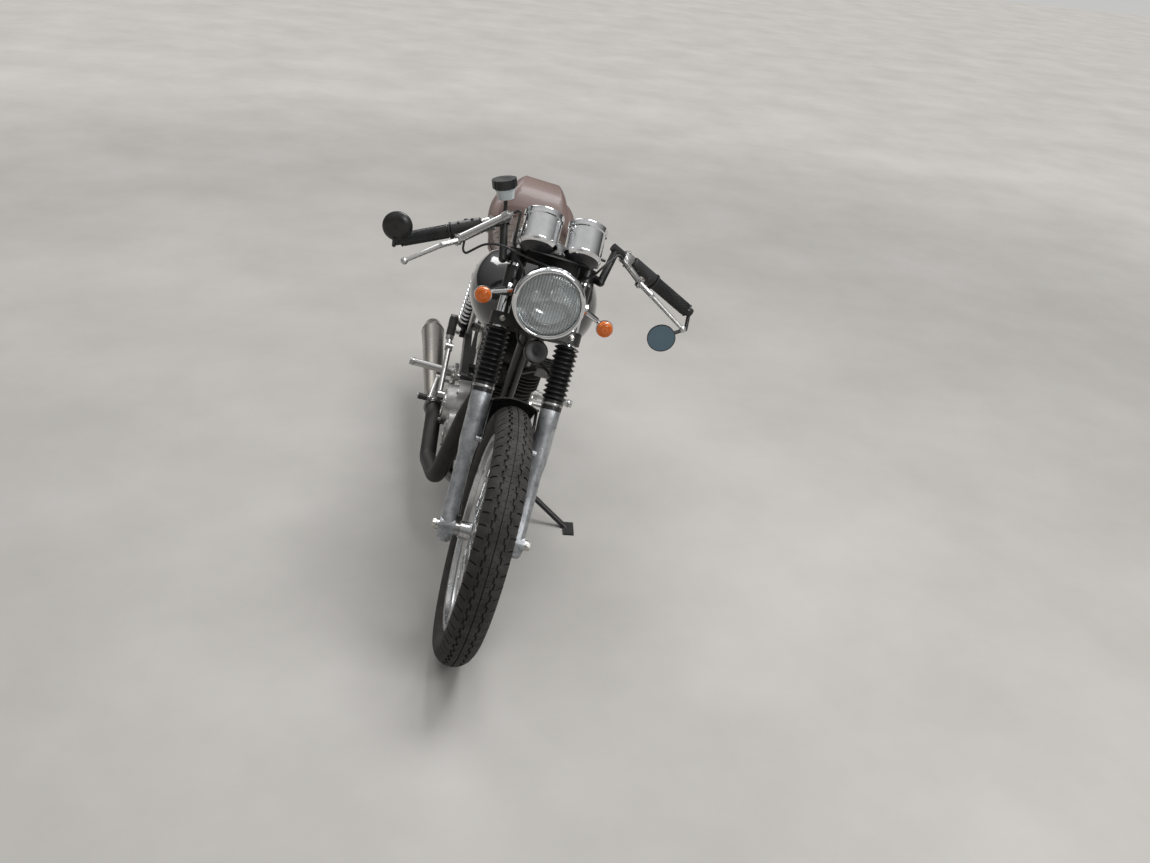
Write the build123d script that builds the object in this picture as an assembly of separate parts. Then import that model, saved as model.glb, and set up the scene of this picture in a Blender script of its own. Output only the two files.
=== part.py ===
from build123d import *
import math
import os

os.makedirs("parts", exist_ok=True)

# Cafe racer motorcycle, in millimetres. Each piece is placed on the upright machine, with
# X forward from the middle of the wheelbase, Y to the rider's left and Z up from the ground.
# At the end the whole machine leans onto its side stand.

# Driving dimensions
wheelbase = 1400.0
front_tyre_radius = 335.0
rear_tyre_radius = 330.0
front_tyre_height = 79.0
rear_tyre_height = 86.5
front_tyre_half_width = 46.5
rear_tyre_half_width = 54.0
tyre_crown_radius = 50.0
rake = 27.5
fork_offset = 50.9
fork_half_spacing = 91.0
lean_angle = 12.0
pin_clearance = 0.05
free_gap = 0.5

front_axle_x = wheelbase / 2
rear_axle_x = -wheelbase / 2
front_axle_plane = Plane(origin=(front_axle_x, 0, front_tyre_radius), x_dir=(1, 0, 0), z_dir=(0, 1, 0))
rear_axle_plane = Plane(origin=(rear_axle_x, 0, rear_tyre_radius), x_dir=(1, 0, 0), z_dir=(0, 1, 0))

# Fork frame: its origin is the front axle, X is square to the legs and forward, Z runs up them
rake_sin = math.sin(math.radians(rake))
rake_cos = math.cos(math.radians(rake))
fork_plane = Plane(
    origin=(front_axle_x, 0, front_tyre_radius),
    x_dir=(rake_cos, 0, rake_sin),
    z_dir=(-rake_sin, 0, rake_cos),
)
sides = {"right": -1, "left": 1}
pieces = {}


def rod(start, end, radius, end_radius=None):
    """Straight round bar, or a cone where a second radius is given."""
    start, end = Vector(*start), Vector(*end)
    run = end - start
    stand = (Align.CENTER, Align.CENTER, Align.MIN)
    if end_radius is None:
        bar = Cylinder(radius, run.length, align=stand)
    else:
        bar = Cone(radius, end_radius, run.length, align=stand)
    return Plane(origin=start, z_dir=run) * bar


def bent_tube(points, radius, bend_radius):
    """Round tube along straight runs joined by tangent arcs."""
    path = FilletPolyline(*points, radius=bend_radius)
    first_run = Vector(*points[1]) - Vector(*points[0])
    return sweep(Plane(origin=points[0], z_dir=first_run) * Circle(radius), path=path)


def cord_tube(points, radius):
    """Cable along straight runs, each arc as large as its two runs allow."""
    runs = [Vector(*end) - Vector(*start) for start, end in zip(points, points[1:])]
    bends = []
    for before, after in zip(runs, runs[1:]):
        half_turn = math.radians(before.get_angle(after) / 2)
        bends.append(0.45 * min(before.length, after.length) / math.tan(half_turn))
    return bent_tube(points, radius, bends)


def turned(outline, plane):
    """Solid of revolution: the outline is a list of (radius, height) on the plane's Z axis."""
    edge = Polyline(*[(radius, 0, height) for radius, height in outline], close=True)
    return plane * revolve(make_face(edge), Axis.Z)


def on_fork(forward, left, up):
    """Point given in the fork frame."""
    return fork_plane.from_local_coords(Vector(forward, left, up))


def axis_plane(up):
    """Plane square to the steering axis, at a height measured up the fork from the axle."""
    return Plane(origin=on_fork(-fork_offset, 0, up), x_dir=fork_plane.x_dir, z_dir=fork_plane.z_dir)


def leg_plane(side, up):
    """Plane square to one fork leg, at a height measured up the fork from the axle."""
    origin = on_fork(0, sides[side] * fork_half_spacing, up)
    return Plane(origin=origin, x_dir=fork_plane.x_dir, z_dir=fork_plane.z_dir)


def plate(outline, y_from, y_to):
    """Flat plate: the outline is a list of (x, z), and it lies between two places across."""
    face = make_face(Polyline(*[(x, y_from, z) for x, z in outline], close=True))
    return extrude(face, amount=y_to - y_from, dir=(0, 1, 0))


def mirrored(point, sign):
    """The same point on the left (1) or the right (-1)."""
    point = Vector(*point)
    return Vector(point.X, sign * point.Y, point.Z)


def joined(first, *others):
    """One solid out of pieces that touch or overlap."""
    return first.fuse(*others)


def largest(shape):
    """The largest solid of a shape that a cut left in several."""
    return max(shape.solids(), key=lambda solid: solid.volume)


# Tyres: hollow rings with round crowns, whose beads sit inside the rim flanges
bead_radius_drop = 13.0
bead_half_width = 26.9
tyre_tread_thickness = 12.0
tyre_wall_thickness = 7.0
shoulder_angle = math.radians(50)
flank_drop = 0.88
front_flange_radius = front_tyre_radius - front_tyre_height
rear_flange_radius = rear_tyre_radius - rear_tyre_height


def tyre_face(radius, half_width, bead_radius, bead_half, crown):
    """Half-filled cross-section of a tyre, in the plane of radius and width."""
    shoulder_y = crown * math.sin(shoulder_angle)
    shoulder_r = radius - crown * (1 - math.cos(shoulder_angle))
    flank_r = radius - flank_drop * crown
    wall_foot = bead_radius + bead_radius_drop + 1.5
    right = [
        Line((bead_radius, 0, -bead_half), (wall_foot, 0, -bead_half)),
        ThreePointArc((wall_foot, 0, -bead_half), (flank_r, 0, -half_width), (shoulder_r, 0, -shoulder_y)),
    ]
    left = [
        ThreePointArc((shoulder_r, 0, shoulder_y), (flank_r, 0, half_width), (wall_foot, 0, bead_half)),
        Line((wall_foot, 0, bead_half), (bead_radius, 0, bead_half)),
    ]
    tread = ThreePointArc((shoulder_r, 0, -shoulder_y), (radius, 0, 0), (shoulder_r, 0, shoulder_y))
    base = Line((bead_radius, 0, bead_half), (bead_radius, 0, -bead_half))
    return make_face(right + [tread] + left + [base])


def tyre(radius, half_width, flange_radius, plane):
    bead_radius = flange_radius - bead_radius_drop + pin_clearance
    outer = tyre_face(radius, half_width, bead_radius, bead_half_width, tyre_crown_radius)
    inner = tyre_face(
        radius - tyre_tread_thickness,
        half_width - tyre_wall_thickness,
        bead_radius,
        bead_half_width - tyre_wall_thickness,
        tyre_crown_radius - tyre_wall_thickness,
    )
    return plane * (revolve(outer, Axis.Z) - revolve(inner, Axis.Z))


pieces["front_tyre"] = tyre(front_tyre_radius, front_tyre_half_width, front_flange_radius, front_axle_plane)
pieces["rear_tyre"] = tyre(rear_tyre_radius, rear_tyre_half_width, rear_flange_radius, rear_axle_plane)

# Wheels: flanged alloy rims laced to their hubs by crossed spokes
axle_radius = 10.0
spoke_count = 36
spoke_radius = 2.0
spoke_cross_angle = 52.0
rim_half_outline = [
    (-24.0, 0.0), (-24.0, 8.0), (-16.0, 16.0), (-13.0, 18.0), (-13.0, 27.0), (0.0, 28.0),
    (0.0, 31.5), (-10.0, 33.5), (-18.0, 31.0), (-20.0, 20.0), (-27.0, 16.0), (-29.0, 10.0), (-29.0, 0.0),
]


def rim(flange_radius):
    left = [(flange_radius + drop, across) for drop, across in rim_half_outline]
    right = [(radius, -across) for radius, across in reversed(left[1:-1])]
    return turned(left + right, Plane.XY)


def spoke(index, hub_radius, hub_half_width, rim_radius):
    """One spoke: every second one goes to the left flange, and pairs lean opposite ways."""
    across = 1 if index % 2 == 0 else -1
    turn = 1 if index % 4 < 2 else -1
    rim_turn = math.radians(index * 360 / spoke_count)
    hub_turn = rim_turn + turn * math.radians(spoke_cross_angle)
    hub_end = (hub_radius * math.cos(hub_turn), hub_radius * math.sin(hub_turn), across * hub_half_width)
    rim_end = (rim_radius * math.cos(rim_turn), rim_radius * math.sin(rim_turn), across * 5)
    return rod(hub_end, rim_end, spoke_radius)


def laced_wheel(flange_radius, hub_outline, hub_hole_radius, hub_flange_place, plane):
    rim_bed_radius = flange_radius + rim_half_outline[0][0] - 2
    spokes = [
        spoke(index, hub_hole_radius, hub_flange_place, rim_bed_radius)
        for index in range(spoke_count)
    ]
    return plane * joined(turned(hub_outline, Plane.XY), rim(flange_radius), *spokes)


axle_bore = axle_radius + pin_clearance
front_hub_half_width = 58.0
front_hub_barrel_radius = 24.0
front_hub_flange_radius = 68.0
front_hub_flange_place = 31.0
front_hub_outline = [
    (axle_bore, -front_hub_half_width), (22, -front_hub_half_width), (front_hub_barrel_radius, -34),
    (front_hub_flange_radius, -34), (front_hub_flange_radius, -28), (34, -24),
    (34, 24), (front_hub_flange_radius, 28), (front_hub_flange_radius, 34), (front_hub_barrel_radius, 34),
    (front_hub_barrel_radius, front_hub_half_width), (axle_bore, front_hub_half_width),
]
pieces["front_wheel_rim"] = laced_wheel(
    front_flange_radius, front_hub_outline, front_hub_flange_radius - 6, front_hub_flange_place, front_axle_plane
)

rear_hub_right = -46.0
rear_hub_left = 42.0
rear_hub_flange_radius = 92.0
rear_hub_flange_place = 33.0
rear_hub_outline = [
    (axle_bore, rear_hub_right + 20), (rear_hub_flange_radius - 12, rear_hub_right + 20),
    (rear_hub_flange_radius - 12, rear_hub_right), (rear_hub_flange_radius - 4, rear_hub_right),
    (rear_hub_flange_radius, -36), (rear_hub_flange_radius, -30), (rear_hub_flange_radius - 6, -26),
    (rear_hub_flange_radius - 6, 26), (rear_hub_flange_radius, 30), (rear_hub_flange_radius, 36),
    (rear_hub_flange_radius - 4, rear_hub_left), (axle_bore, rear_hub_left),
]
pieces["rear_wheel_rim"] = laced_wheel(
    rear_flange_radius, rear_hub_outline, rear_hub_flange_radius - 5, rear_hub_flange_place, rear_axle_plane
)

# Front brake disc on the left of the hub
disc_radius = 149.0
disc_inner_radius = 108.0
disc_place = 47.0
disc_thickness = 5.0
hub_face = 34.0
disc_bore = front_hub_barrel_radius + free_gap
pieces["front_brake_disc"] = turned(
    [
        (disc_bore, hub_face), (60, hub_face), (disc_inner_radius, disc_place), (disc_radius, disc_place),
        (disc_radius, disc_place + disc_thickness), (disc_inner_radius - 4, disc_place + disc_thickness),
        (58, hub_face + disc_thickness), (disc_bore, hub_face + disc_thickness),
    ],
    front_axle_plane,
)

# Rear sprocket on the left of the hub: its teeth stand in the chain's open middle
chain_line = 72.0
chain_pitch = 15.875
rear_sprocket_teeth = 42
front_sprocket_teeth = 16
sprocket_thickness = 6.0
tooth_root_drop = 9.0
tooth_tip_rise = 1.5
tooth_tip_share = 0.14
tooth_root_share = 0.30


def pitch_radius(teeth):
    return chain_pitch / (2 * math.sin(math.pi / teeth))


def sprocket_disc(teeth):
    """Toothed plate about its own Z axis, with a flat tip and a flat root for each tooth."""
    outline = []
    for tooth in range(teeth):
        for share, radius_change in (
            (-tooth_root_share, -tooth_root_drop), (-tooth_tip_share, tooth_tip_rise),
            (tooth_tip_share, tooth_tip_rise), (tooth_root_share, -tooth_root_drop),
        ):
            turn = 2 * math.pi * (tooth + share) / teeth
            radius = pitch_radius(teeth) + radius_change
            outline.append((radius * math.cos(turn), radius * math.sin(turn)))
    return extrude(make_face(Polyline(*outline, close=True)), amount=sprocket_thickness / 2, both=True)


rear_pitch_radius = pitch_radius(rear_sprocket_teeth)
front_pitch_radius = pitch_radius(front_sprocket_teeth)
sprocket_hub = turned(
    [(axle_bore, rear_hub_left), (60, rear_hub_left), (64, chain_line - sprocket_thickness / 2),
     (64, chain_line + sprocket_thickness / 2), (axle_bore, chain_line + sprocket_thickness / 2)],
    rear_axle_plane,
)
rear_teeth = rear_axle_plane * (Pos(0, 0, chain_line) * (sprocket_disc(rear_sprocket_teeth) - Cylinder(62, 20)))
pieces["rear_sprocket"] = joined(sprocket_hub, rear_teeth)

# Fork: lower legs, stanchion tubes, rubber gaiters and two yokes
tube_radius = 17.5
tube_bore = tube_radius + pin_clearance
tube_bottom = 60.0
tube_top = 772.0
leg_radius = 20.0
leg_upper_radius = 25.0
leg_taper_from, leg_taper_to = 185.0, 225.0
leg_collar_from = 308.0
leg_collar_radius = 26.0
leg_top = 350.0
leg_bottom = -38.0
gaiter_top = 519.0
gaiter_ribs = 11
gaiter_radius = 32.0
gaiter_waist = 23.5
gaiter_sleeve = 26.0
gaiter_sleeve_radius = 27.0
lower_yoke_from, lower_yoke_to = 525.0, 557.0
upper_yoke_from, upper_yoke_to = 735.0, 763.0
stem_radius = 15.0
head_radius = 31.0
front_spacer_radius = 17.0
leg_inner_face = fork_half_spacing - leg_radius
axle_lug_radius = 22.0

leg_outline = [
    (0, leg_bottom), (leg_radius - 6, leg_bottom), (leg_radius, leg_bottom + 8), (leg_radius, leg_taper_from),
    (leg_upper_radius, leg_taper_to), (leg_upper_radius, leg_collar_from - 4), (leg_collar_radius, leg_collar_from),
    (leg_collar_radius, leg_top), (tube_bore, leg_top), (tube_bore, tube_bottom), (0, tube_bottom),
]
gaiter_outline = [(gaiter_sleeve_radius, leg_top), (gaiter_sleeve_radius, leg_top + gaiter_sleeve)]
rib_pitch = (gaiter_top - leg_top - gaiter_sleeve) / gaiter_ribs
for rib in range(gaiter_ribs):
    rib_base = leg_top + gaiter_sleeve + rib * rib_pitch
    gaiter_outline += [
        (gaiter_waist, rib_base + rib_pitch * 0.12),
        (gaiter_radius, rib_base + rib_pitch * 0.5),
        (gaiter_radius, rib_base + rib_pitch * 0.62),
    ]
gaiter_outline += [(gaiter_waist, gaiter_top), (tube_bore, gaiter_top), (tube_bore, leg_top)]

# The left leg carries two ears for the brake caliper's bolts
stay_boss_forward, stay_boss_up = 24.0, 232.0
stay_boss_inner = fork_half_spacing - leg_upper_radius - 3
caliper_bolt_forward = -34.0
caliper_bolt_heights = (86.0, 150.0)
caliper_bolt_radius = 4.0
ear_inner, ear_outer = 84.0, 98.0
ear_reach = 9.5
axle_cross = rod((front_axle_x, -140, front_tyre_radius), (front_axle_x, 140, front_tyre_radius), axle_bore)


def caliper_ear(up):
    """Ear behind the left leg, with the bolt's hole."""
    ear = extrude(make_hull((Circle(10) + Pos(ear_reach, 0) * Circle(6)).edges()),
                  amount=ear_outer - ear_inner)
    ear -= Cylinder(caliper_bolt_radius + pin_clearance, 40)
    ear_plane = Plane(origin=on_fork(caliper_bolt_forward, ear_inner, up), x_dir=fork_plane.x_dir, z_dir=(0, 1, 0))
    return ear_plane * ear


legs = []
tubes = []
gaiters = []
for side, sign in sides.items():
    lug = rod((front_axle_x, sign * leg_inner_face, front_tyre_radius),
              (front_axle_x, sign * (fork_half_spacing + leg_radius), front_tyre_radius), axle_lug_radius)
    boss = rod(on_fork(stay_boss_forward, sign * (fork_half_spacing - 12), stay_boss_up),
               on_fork(stay_boss_forward, sign * stay_boss_inner, stay_boss_up), 7)
    leg = joined(turned(leg_outline, leg_plane(side, 0)), lug, boss)
    if side == "left":
        leg = joined(leg, *[caliper_ear(up) for up in caliper_bolt_heights])
    legs.append(leg - axle_cross)
    tubes.append(turned([(0, tube_bottom), (tube_radius, tube_bottom), (tube_radius, tube_top),
                         (tube_radius - 4, tube_top + 4), (0, tube_top + 4)], leg_plane(side, 0)))
    gaiters.append(turned(gaiter_outline, leg_plane(side, 0)))
pieces["fork_legs"] = Compound(legs)
pieces["fork_tubes"] = Compound(tubes)
pieces["fork_gaiters"] = Compound(gaiters)

axle_end = fork_half_spacing + leg_radius + 8
front_axle = rod(
    (front_axle_x, -axle_end, front_tyre_radius), (front_axle_x, axle_end, front_tyre_radius), axle_radius
)
for sign in sides.values():
    front_axle = joined(
        front_axle,
        rod((front_axle_x, sign * (front_hub_half_width + free_gap), front_tyre_radius),
            (front_axle_x, sign * leg_inner_face, front_tyre_radius), front_spacer_radius),
        rod((front_axle_x, sign * (fork_half_spacing + leg_radius), front_tyre_radius),
            (front_axle_x, sign * axle_end, front_tyre_radius), 14),
    )
pieces["front_axle"] = front_axle


def yoke(bottom, top, clamp_radius, stem_hole):
    """Plate that joins the steering stem to both fork tubes."""
    outlines = Pos(-fork_offset, 0) * Circle(head_radius)
    for sign in sides.values():
        outlines += Pos(0, sign * fork_half_spacing) * Circle(clamp_radius)
    body = extrude(make_hull(outlines.edges()), amount=top - bottom)
    for sign in sides.values():
        hole = Pos(0, sign * fork_half_spacing, -1) * Cylinder(
            tube_bore, top - bottom + 2, align=(Align.CENTER, Align.CENTER, Align.MIN))
        body -= hole
    if stem_hole:
        body -= Pos(-fork_offset, 0, -1) * Cylinder(
            stem_radius + pin_clearance, top - bottom + 2, align=(Align.CENTER, Align.CENTER, Align.MIN))
    return fork_plane * (Pos(0, 0, bottom) * body)


stem = turned([(0, lower_yoke_to - 2), (stem_radius, lower_yoke_to - 2), (stem_radius, upper_yoke_to),
               (19, upper_yoke_to), (19, upper_yoke_to + 9), (15, upper_yoke_to + 14),
               (0, upper_yoke_to + 14)], axis_plane(0))

# The horn hangs below the headlight on a strap from the lower yoke
horn_radius = 30.0
horn_up = 478.0
horn_plane = Plane(origin=on_fork(48, 8, horn_up), x_dir=(0, 1, 0), z_dir=fork_plane.x_dir)
horn = turned([(0, 0), (22, 0), (horn_radius, 8), (horn_radius, 22), (horn_radius - 4, 26), (12, 26), (0, 20)],
              horn_plane)
horn_strap = rod(on_fork(20, 8, lower_yoke_from + 6), on_fork(52, 8, horn_up + 8), 4)
pieces["lower_yoke"] = joined(yoke(lower_yoke_from, lower_yoke_to, 29, False), stem, horn_strap, horn)
pieces["upper_yoke"] = yoke(upper_yoke_from, upper_yoke_to, 27, True)

# Front brake caliper: two halves bridged outside the disc, bolted to the ears
pad_gap = 3.0
caliper_forward = -46.0
caliper_up = sum(caliper_bolt_heights) / 2
caliper_inner, caliper_outer = 35.0, ear_inner - pin_clearance
disc_web_clear_radius = 113.0
low_end = (Align.CENTER, Align.CENTER, Align.MIN)
caliper_plane = Plane(origin=on_fork(0, caliper_inner, 0), x_dir=fork_plane.x_dir, z_dir=(0, -1, 0))
caliper_outline = Pos(caliper_forward, caliper_up - 22) * Circle(22) + Pos(caliper_forward, caliper_up + 24) * Circle(22)
for up in caliper_bolt_heights:
    caliper_outline += Pos(caliper_bolt_forward, up) * Circle(9)
caliper = Pos(0, 0, caliper_inner - caliper_outer) * extrude(
    make_hull(caliper_outline.edges()), amount=caliper_outer - caliper_inner)
disc_slot = Pos(0, 0, caliper_inner - disc_place - disc_thickness - pad_gap) * Cylinder(
    disc_radius + pad_gap, disc_thickness + 2 * pad_gap, align=low_end)
web_clear = Pos(0, 0, caliper_inner - disc_place) * Cylinder(disc_web_clear_radius, disc_place, align=low_end)
caliper = caliper_plane * (caliper - disc_slot - web_clear)
caliper_bolts = [
    joined(rod(on_fork(caliper_bolt_forward, caliper_outer - 12, up),
               on_fork(caliper_bolt_forward, ear_outer + 4, up), caliper_bolt_radius),
           rod(on_fork(caliper_bolt_forward, ear_outer + pin_clearance, up),
               on_fork(caliper_bolt_forward, ear_outer + 5, up), 7))
    for up in caliper_bolt_heights
]
caliper_port = on_fork(caliper_forward, 67, caliper_up + 44)
pieces["brake_caliper"] = joined(
    caliper, *caliper_bolts, rod(caliper_port, caliper_port + Vector(*fork_plane.z_dir) * 6, 6))

# Headlight: steel bowl, chrome rim, reflector and glass, on two brackets
lamp_centre = on_fork(150.5, 0, 588.0)
lamp_tilt = math.radians(3)
lamp_radius = 90.0
lamp_plane = Plane(origin=lamp_centre, x_dir=(0, 1, 0), z_dir=(math.cos(lamp_tilt), 0, math.sin(lamp_tilt)))
pieces["headlight_shell"] = turned(
    [(82, -20), (85, -20), (85, -30), (82, -52), (72, -76), (52, -96), (28, -106), (0, -109),
     (0, -105.5), (27, -102.5), (50, -93), (69, -74), (79, -51), (82, -30)],
    lamp_plane,
)
pieces["headlight_rim"] = turned(
    [(77, -19.95), (86, -19.95), (lamp_radius, -17), (lamp_radius, -6), (86, 2), (79, 4), (78, 0), (78, -9),
     (76, -13), (60, -36), (40, -52), (16, -60), (0, -60), (0, -63), (17, -63), (42, -55), (62, -39), (75, -19.95)],
    lamp_plane,
)
lens_radius = 77.9
pieces["headlight_lens"] = turned(
    [(0, 3), (40, 0), (66, -5), (lens_radius, -8), (lens_radius, -4), (66, 0), (40, 6), (0, 9)],
    lamp_plane,
)

bracket_ring_from, bracket_ring_to = 600.0, 680.0
bracket_inner = 86.0
bracket_thickness = 4.0
bracket_outer = bracket_inner + bracket_thickness
# Ear of each bracket, as forward and up from the lamp's centre
ear_outline = [(-157, -62), (-62, -26), (-46, -12), (-46, 12), (-62, 16), (-170, -14)]
lamp_bolt = lamp_centre + Vector(-62, 0, -4)
brackets = []
for side, sign in sides.items():
    ring = turned([(tube_bore, bracket_ring_from), (tube_bore + 4, bracket_ring_from),
                   (tube_bore + 4, bracket_ring_to), (tube_bore, bracket_ring_to)], leg_plane(side, 0))
    ear = plate([(lamp_centre.X + forward, lamp_centre.Z + up) for forward, up in ear_outline],
                sign * bracket_inner, sign * bracket_outer)
    ear -= turned([(0, bracket_ring_from - 60), (tube_bore + 2, bracket_ring_from - 60),
                   (tube_bore + 2, bracket_ring_to + 60), (0, bracket_ring_to + 60)], leg_plane(side, 0))
    bolt = rod(lamp_bolt + Vector(0, sign * 74, 0), lamp_bolt + Vector(0, sign * (bracket_outer + 6), 0), 8)
    bolt -= pieces["headlight_shell"]
    bolt = max(bolt.solids(), key=lambda solid: abs(solid.center().Y))
    brackets.append(joined(ring, ear, bolt))
pieces["headlight_brackets"] = Compound(brackets)

# Front and rear indicators: short stalks with round amber lamps
indicator_radius = 21.0
indicator_depth = 26.0


def indicator(root, lamp, facing):
    """One indicator on a stalk, whose lens faces forward or back."""
    plane = Plane(origin=lamp, x_dir=(0, 1, 0), z_dir=(facing, 0, 0))
    housing = turned([(0, -indicator_depth), (12, -indicator_depth + 2), (indicator_radius - 1, -6),
                      (indicator_radius, 0), (0, 0)], plane)
    lens = turned([(0, -1), (indicator_radius - 1, -1), (indicator_radius - 2, 8), (12, 13), (0, 14)], plane)
    arm_end = Vector(*lamp) - Vector(facing * 14, 0, 0)
    return joined(rod(root, arm_end, 5.5), housing, lens)


indicator_root = lamp_centre + Vector(-52, bracket_outer - 1, -8)
indicator_lamp = lamp_centre + Vector(-48, 157, -37)
pieces["front_indicators"] = Compound([
    indicator(mirrored(indicator_root, sign), mirrored(indicator_lamp, sign), 1) - pieces["headlight_brackets"]
    for sign in sides.values()
])

# Two clocks in chrome cups above the headlight, on a plate held by the upper yoke
clock_tilt = math.radians(42)
clock_axis = Vector(-math.sin(clock_tilt), 0, math.cos(clock_tilt))
clock_radius = 51.0
clock_depth = 106.0
clock_spacing = 57.0
clock_centre = on_fork(63.3, 0, 812.5)
cups = []
glasses = []
for sign in sides.values():
    plane = Plane(origin=clock_centre + Vector(0, sign * clock_spacing, 0), x_dir=(0, 1, 0), z_dir=clock_axis)
    cups.append(turned(
        [(0, -7), (clock_radius - 5, -7), (clock_radius - 5, 0), (clock_radius, -1), (clock_radius, -14),
         (clock_radius - 3, -16), (clock_radius - 3, -78), (clock_radius - 1, -80), (clock_radius - 1, -83),
         (clock_radius - 6, -90), (clock_radius - 14, -98), (clock_radius - 26, -clock_depth),
         (0, -clock_depth)], plane))
    glasses.append(turned(
        [(0, -6.95), (clock_radius - 5.05, -6.95), (clock_radius - 5.05, -4), (0, -4)], plane))
pieces["clock_cups"] = Compound(cups)
pieces["clock_glasses"] = Compound(glasses)
clock_centre_plane = Plane(origin=clock_centre, x_dir=(0, 1, 0), z_dir=clock_axis)
clock_plate_thickness = 4.0
clock_plate_foot = -clock_depth - pin_clearance - clock_plate_thickness
bracket_plate = clock_centre_plane * (
    Pos(0, 19, clock_plate_foot) * Box(150, 74, clock_plate_thickness, align=low_end))
clock_arm_y = 45.0
clock_arms = [
    rod(clock_centre_plane.from_local_coords(Vector(sign * clock_arm_y, 48, clock_plate_foot + 2)),
        on_fork(0, sign * clock_arm_y, upper_yoke_to - 12), 4.5)
    for sign in sides.values()
]
pieces["clock_bracket"] = joined(bracket_plate, *clock_arms) - pieces["upper_yoke"]

# Clip-on bars: each clamps its fork tube, rises to a bend and droops outward to its grip
clip_from, clip_to = 688.0, 724.0
clip_middle = (clip_from + clip_to) / 2
bar_radius = 11.0
bar_end_y = 385.0
grip_inner_y = 268.0
grip_radius = 16.5
riser_bend = Vector(49, 20, -80)
# Top of each riser in the fork frame, and the way the bar runs outward from it
bar_table = {
    "right": (Vector(14.1, 148.0, 780.7), Vector(-0.10, 1, -0.55)),
    "left": (Vector(19.6, 148.0, 791.3), Vector(-0.10, 1, -0.46)),
}


def bar_point(side, across):
    """Point on the bar's centre line at a distance across from the middle of the machine."""
    top, slope = on_fork(*bar_table[side][0]), bar_table[side][1]
    return mirrored(top + slope * (across - top.Y), sides[side])


def bar_plane(side, across):
    """Plane square to the bar, facing outward."""
    return Plane(origin=bar_point(side, across), z_dir=mirrored(bar_table[side][1], sides[side]))


def off_bar(side, across, shift):
    """Point at a shift (forward, outward, up) from the bar."""
    return bar_point(side, across) + mirrored(shift, sides[side])


clipons = []
grips = []
grip_bore = bar_radius + pin_clearance
riser_y = bar_table["left"][0].Y
for side, sign in sides.items():
    clamp = turned([(tube_bore, clip_from), (tube_bore + 8, clip_from), (tube_bore + 8, clip_to),
                    (tube_bore, clip_to)], leg_plane(side, 0))
    foot = on_fork(4, sign * (fork_half_spacing + tube_bore + 5), clip_middle)
    bend = bar_point(side, riser_y) + Vector(riser_bend.X, -sign * riser_bend.Y, riser_bend.Z)
    bar = rod(bar_point(side, riser_y - 12), bar_point(side, bar_end_y), bar_radius)
    riser = joined(rod(foot, bend, 11), rod(bend, bar_point(side, riser_y), 10), Pos(bend) * Sphere(11))
    clear = turned([(0, clip_from - 60), (tube_bore + 2, clip_from - 60), (tube_bore + 2, clip_to + 60),
                    (0, clip_to + 60)], leg_plane(side, 0))
    pinch = leg_plane(side, clip_middle) * (Pos(-tube_bore - 11, 0, 0) * Box(12, 20, 18))
    clipons.append(joined(clamp, pinch, riser - clear, bar))

    grip_length = (bar_end_y - grip_inner_y) * bar_table[side][1].length
    grips.append(turned(
        [(grip_bore, 0), (22, 0), (22, 5), (grip_radius, 8), (grip_radius, grip_length - 5),
         (grip_radius + 2, grip_length), (grip_bore, grip_length)], bar_plane(side, grip_inner_y)))

# Switch housings on the bars, just inboard of the grips and in the same black as them
switch_radius = 20.0
switch_from, switch_to = 199.0, grip_inner_y - free_gap
for side in sides:
    length = (switch_to - switch_from) * bar_table[side][1].length
    grips.append(turned(
        [(grip_bore, 0), (switch_radius - 2, 0), (switch_radius, 2), (switch_radius, length - 2),
         (switch_radius - 2, length), (grip_bore, length)], bar_plane(side, switch_from)))
pieces["clipons"] = Compound(clipons)
pieces["grips"] = Compound(grips)

# Lever perches, of which the right one is the brake's master cylinder, and their levers
perch_from, perch_to = 170.0, 194.0
perch_y = (perch_from + perch_to) / 2
lever_ball_radius = 9.0
# Rows: place across of the pivot and its shift off the bar, inner end of the casting and its
# shift off the bar, and the lever's ball as a shift from the pivot
perch_table = {
    "right": (248.0, Vector(49, 0, -13), 140.0, Vector(43, 0, 29), Vector(51, 114, -76)),
    "left": (226.0, Vector(48, 0, -17), 172.0, Vector(45, 0, -1), Vector(48, 138, -73)),
}
perches = []
levers = []
for side, sign in sides.items():
    pivot_y, pivot_shift, inner_y, inner_shift, ball_shift = perch_table[side]
    pivot, inner = off_bar(side, pivot_y, pivot_shift), off_bar(side, inner_y, inner_shift)
    clamp_length = (perch_to - perch_from) * bar_table[side][1].length
    clamp = turned([(grip_bore, 0), (17, 0), (17, clamp_length), (grip_bore, clamp_length)],
                   bar_plane(side, perch_from))
    casting_point = inner + (pivot - inner) * ((perch_y - inner_y) / (pivot_y - inner_y))
    arm = rod(bar_point(side, perch_y), casting_point, 9)
    arm -= rod(bar_point(side, perch_y - 30), bar_point(side, perch_y + 30), grip_bore)
    casting = joined(rod(inner, pivot, 11 if side == "right" else 8), largest(arm))
    pivot_up = Vector(0, 0, 10)
    nose = rod(inner + (inner - pivot).normalized() * 8, inner, 6)
    perches.append(joined(clamp, casting, rod(pivot - pivot_up, pivot + pivot_up, 11), nose))
    knee = pivot + mirrored((26, 34, -16), sign)
    ball = pivot + mirrored(ball_shift, sign)
    lever = joined(rod(pivot + Vector(10, 0, 0), knee, 7), rod(knee, ball, 6.5, 5), Pos(knee) * Sphere(7.6),
                   Pos(ball) * Sphere(lever_ball_radius))
    levers.append(largest(lever - perches[-1]))
pieces["perches"] = Compound(perches)
pieces["levers"] = Compound(levers)

# Round mirrors on bar-end plugs
mirror_radius = 38.0
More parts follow.
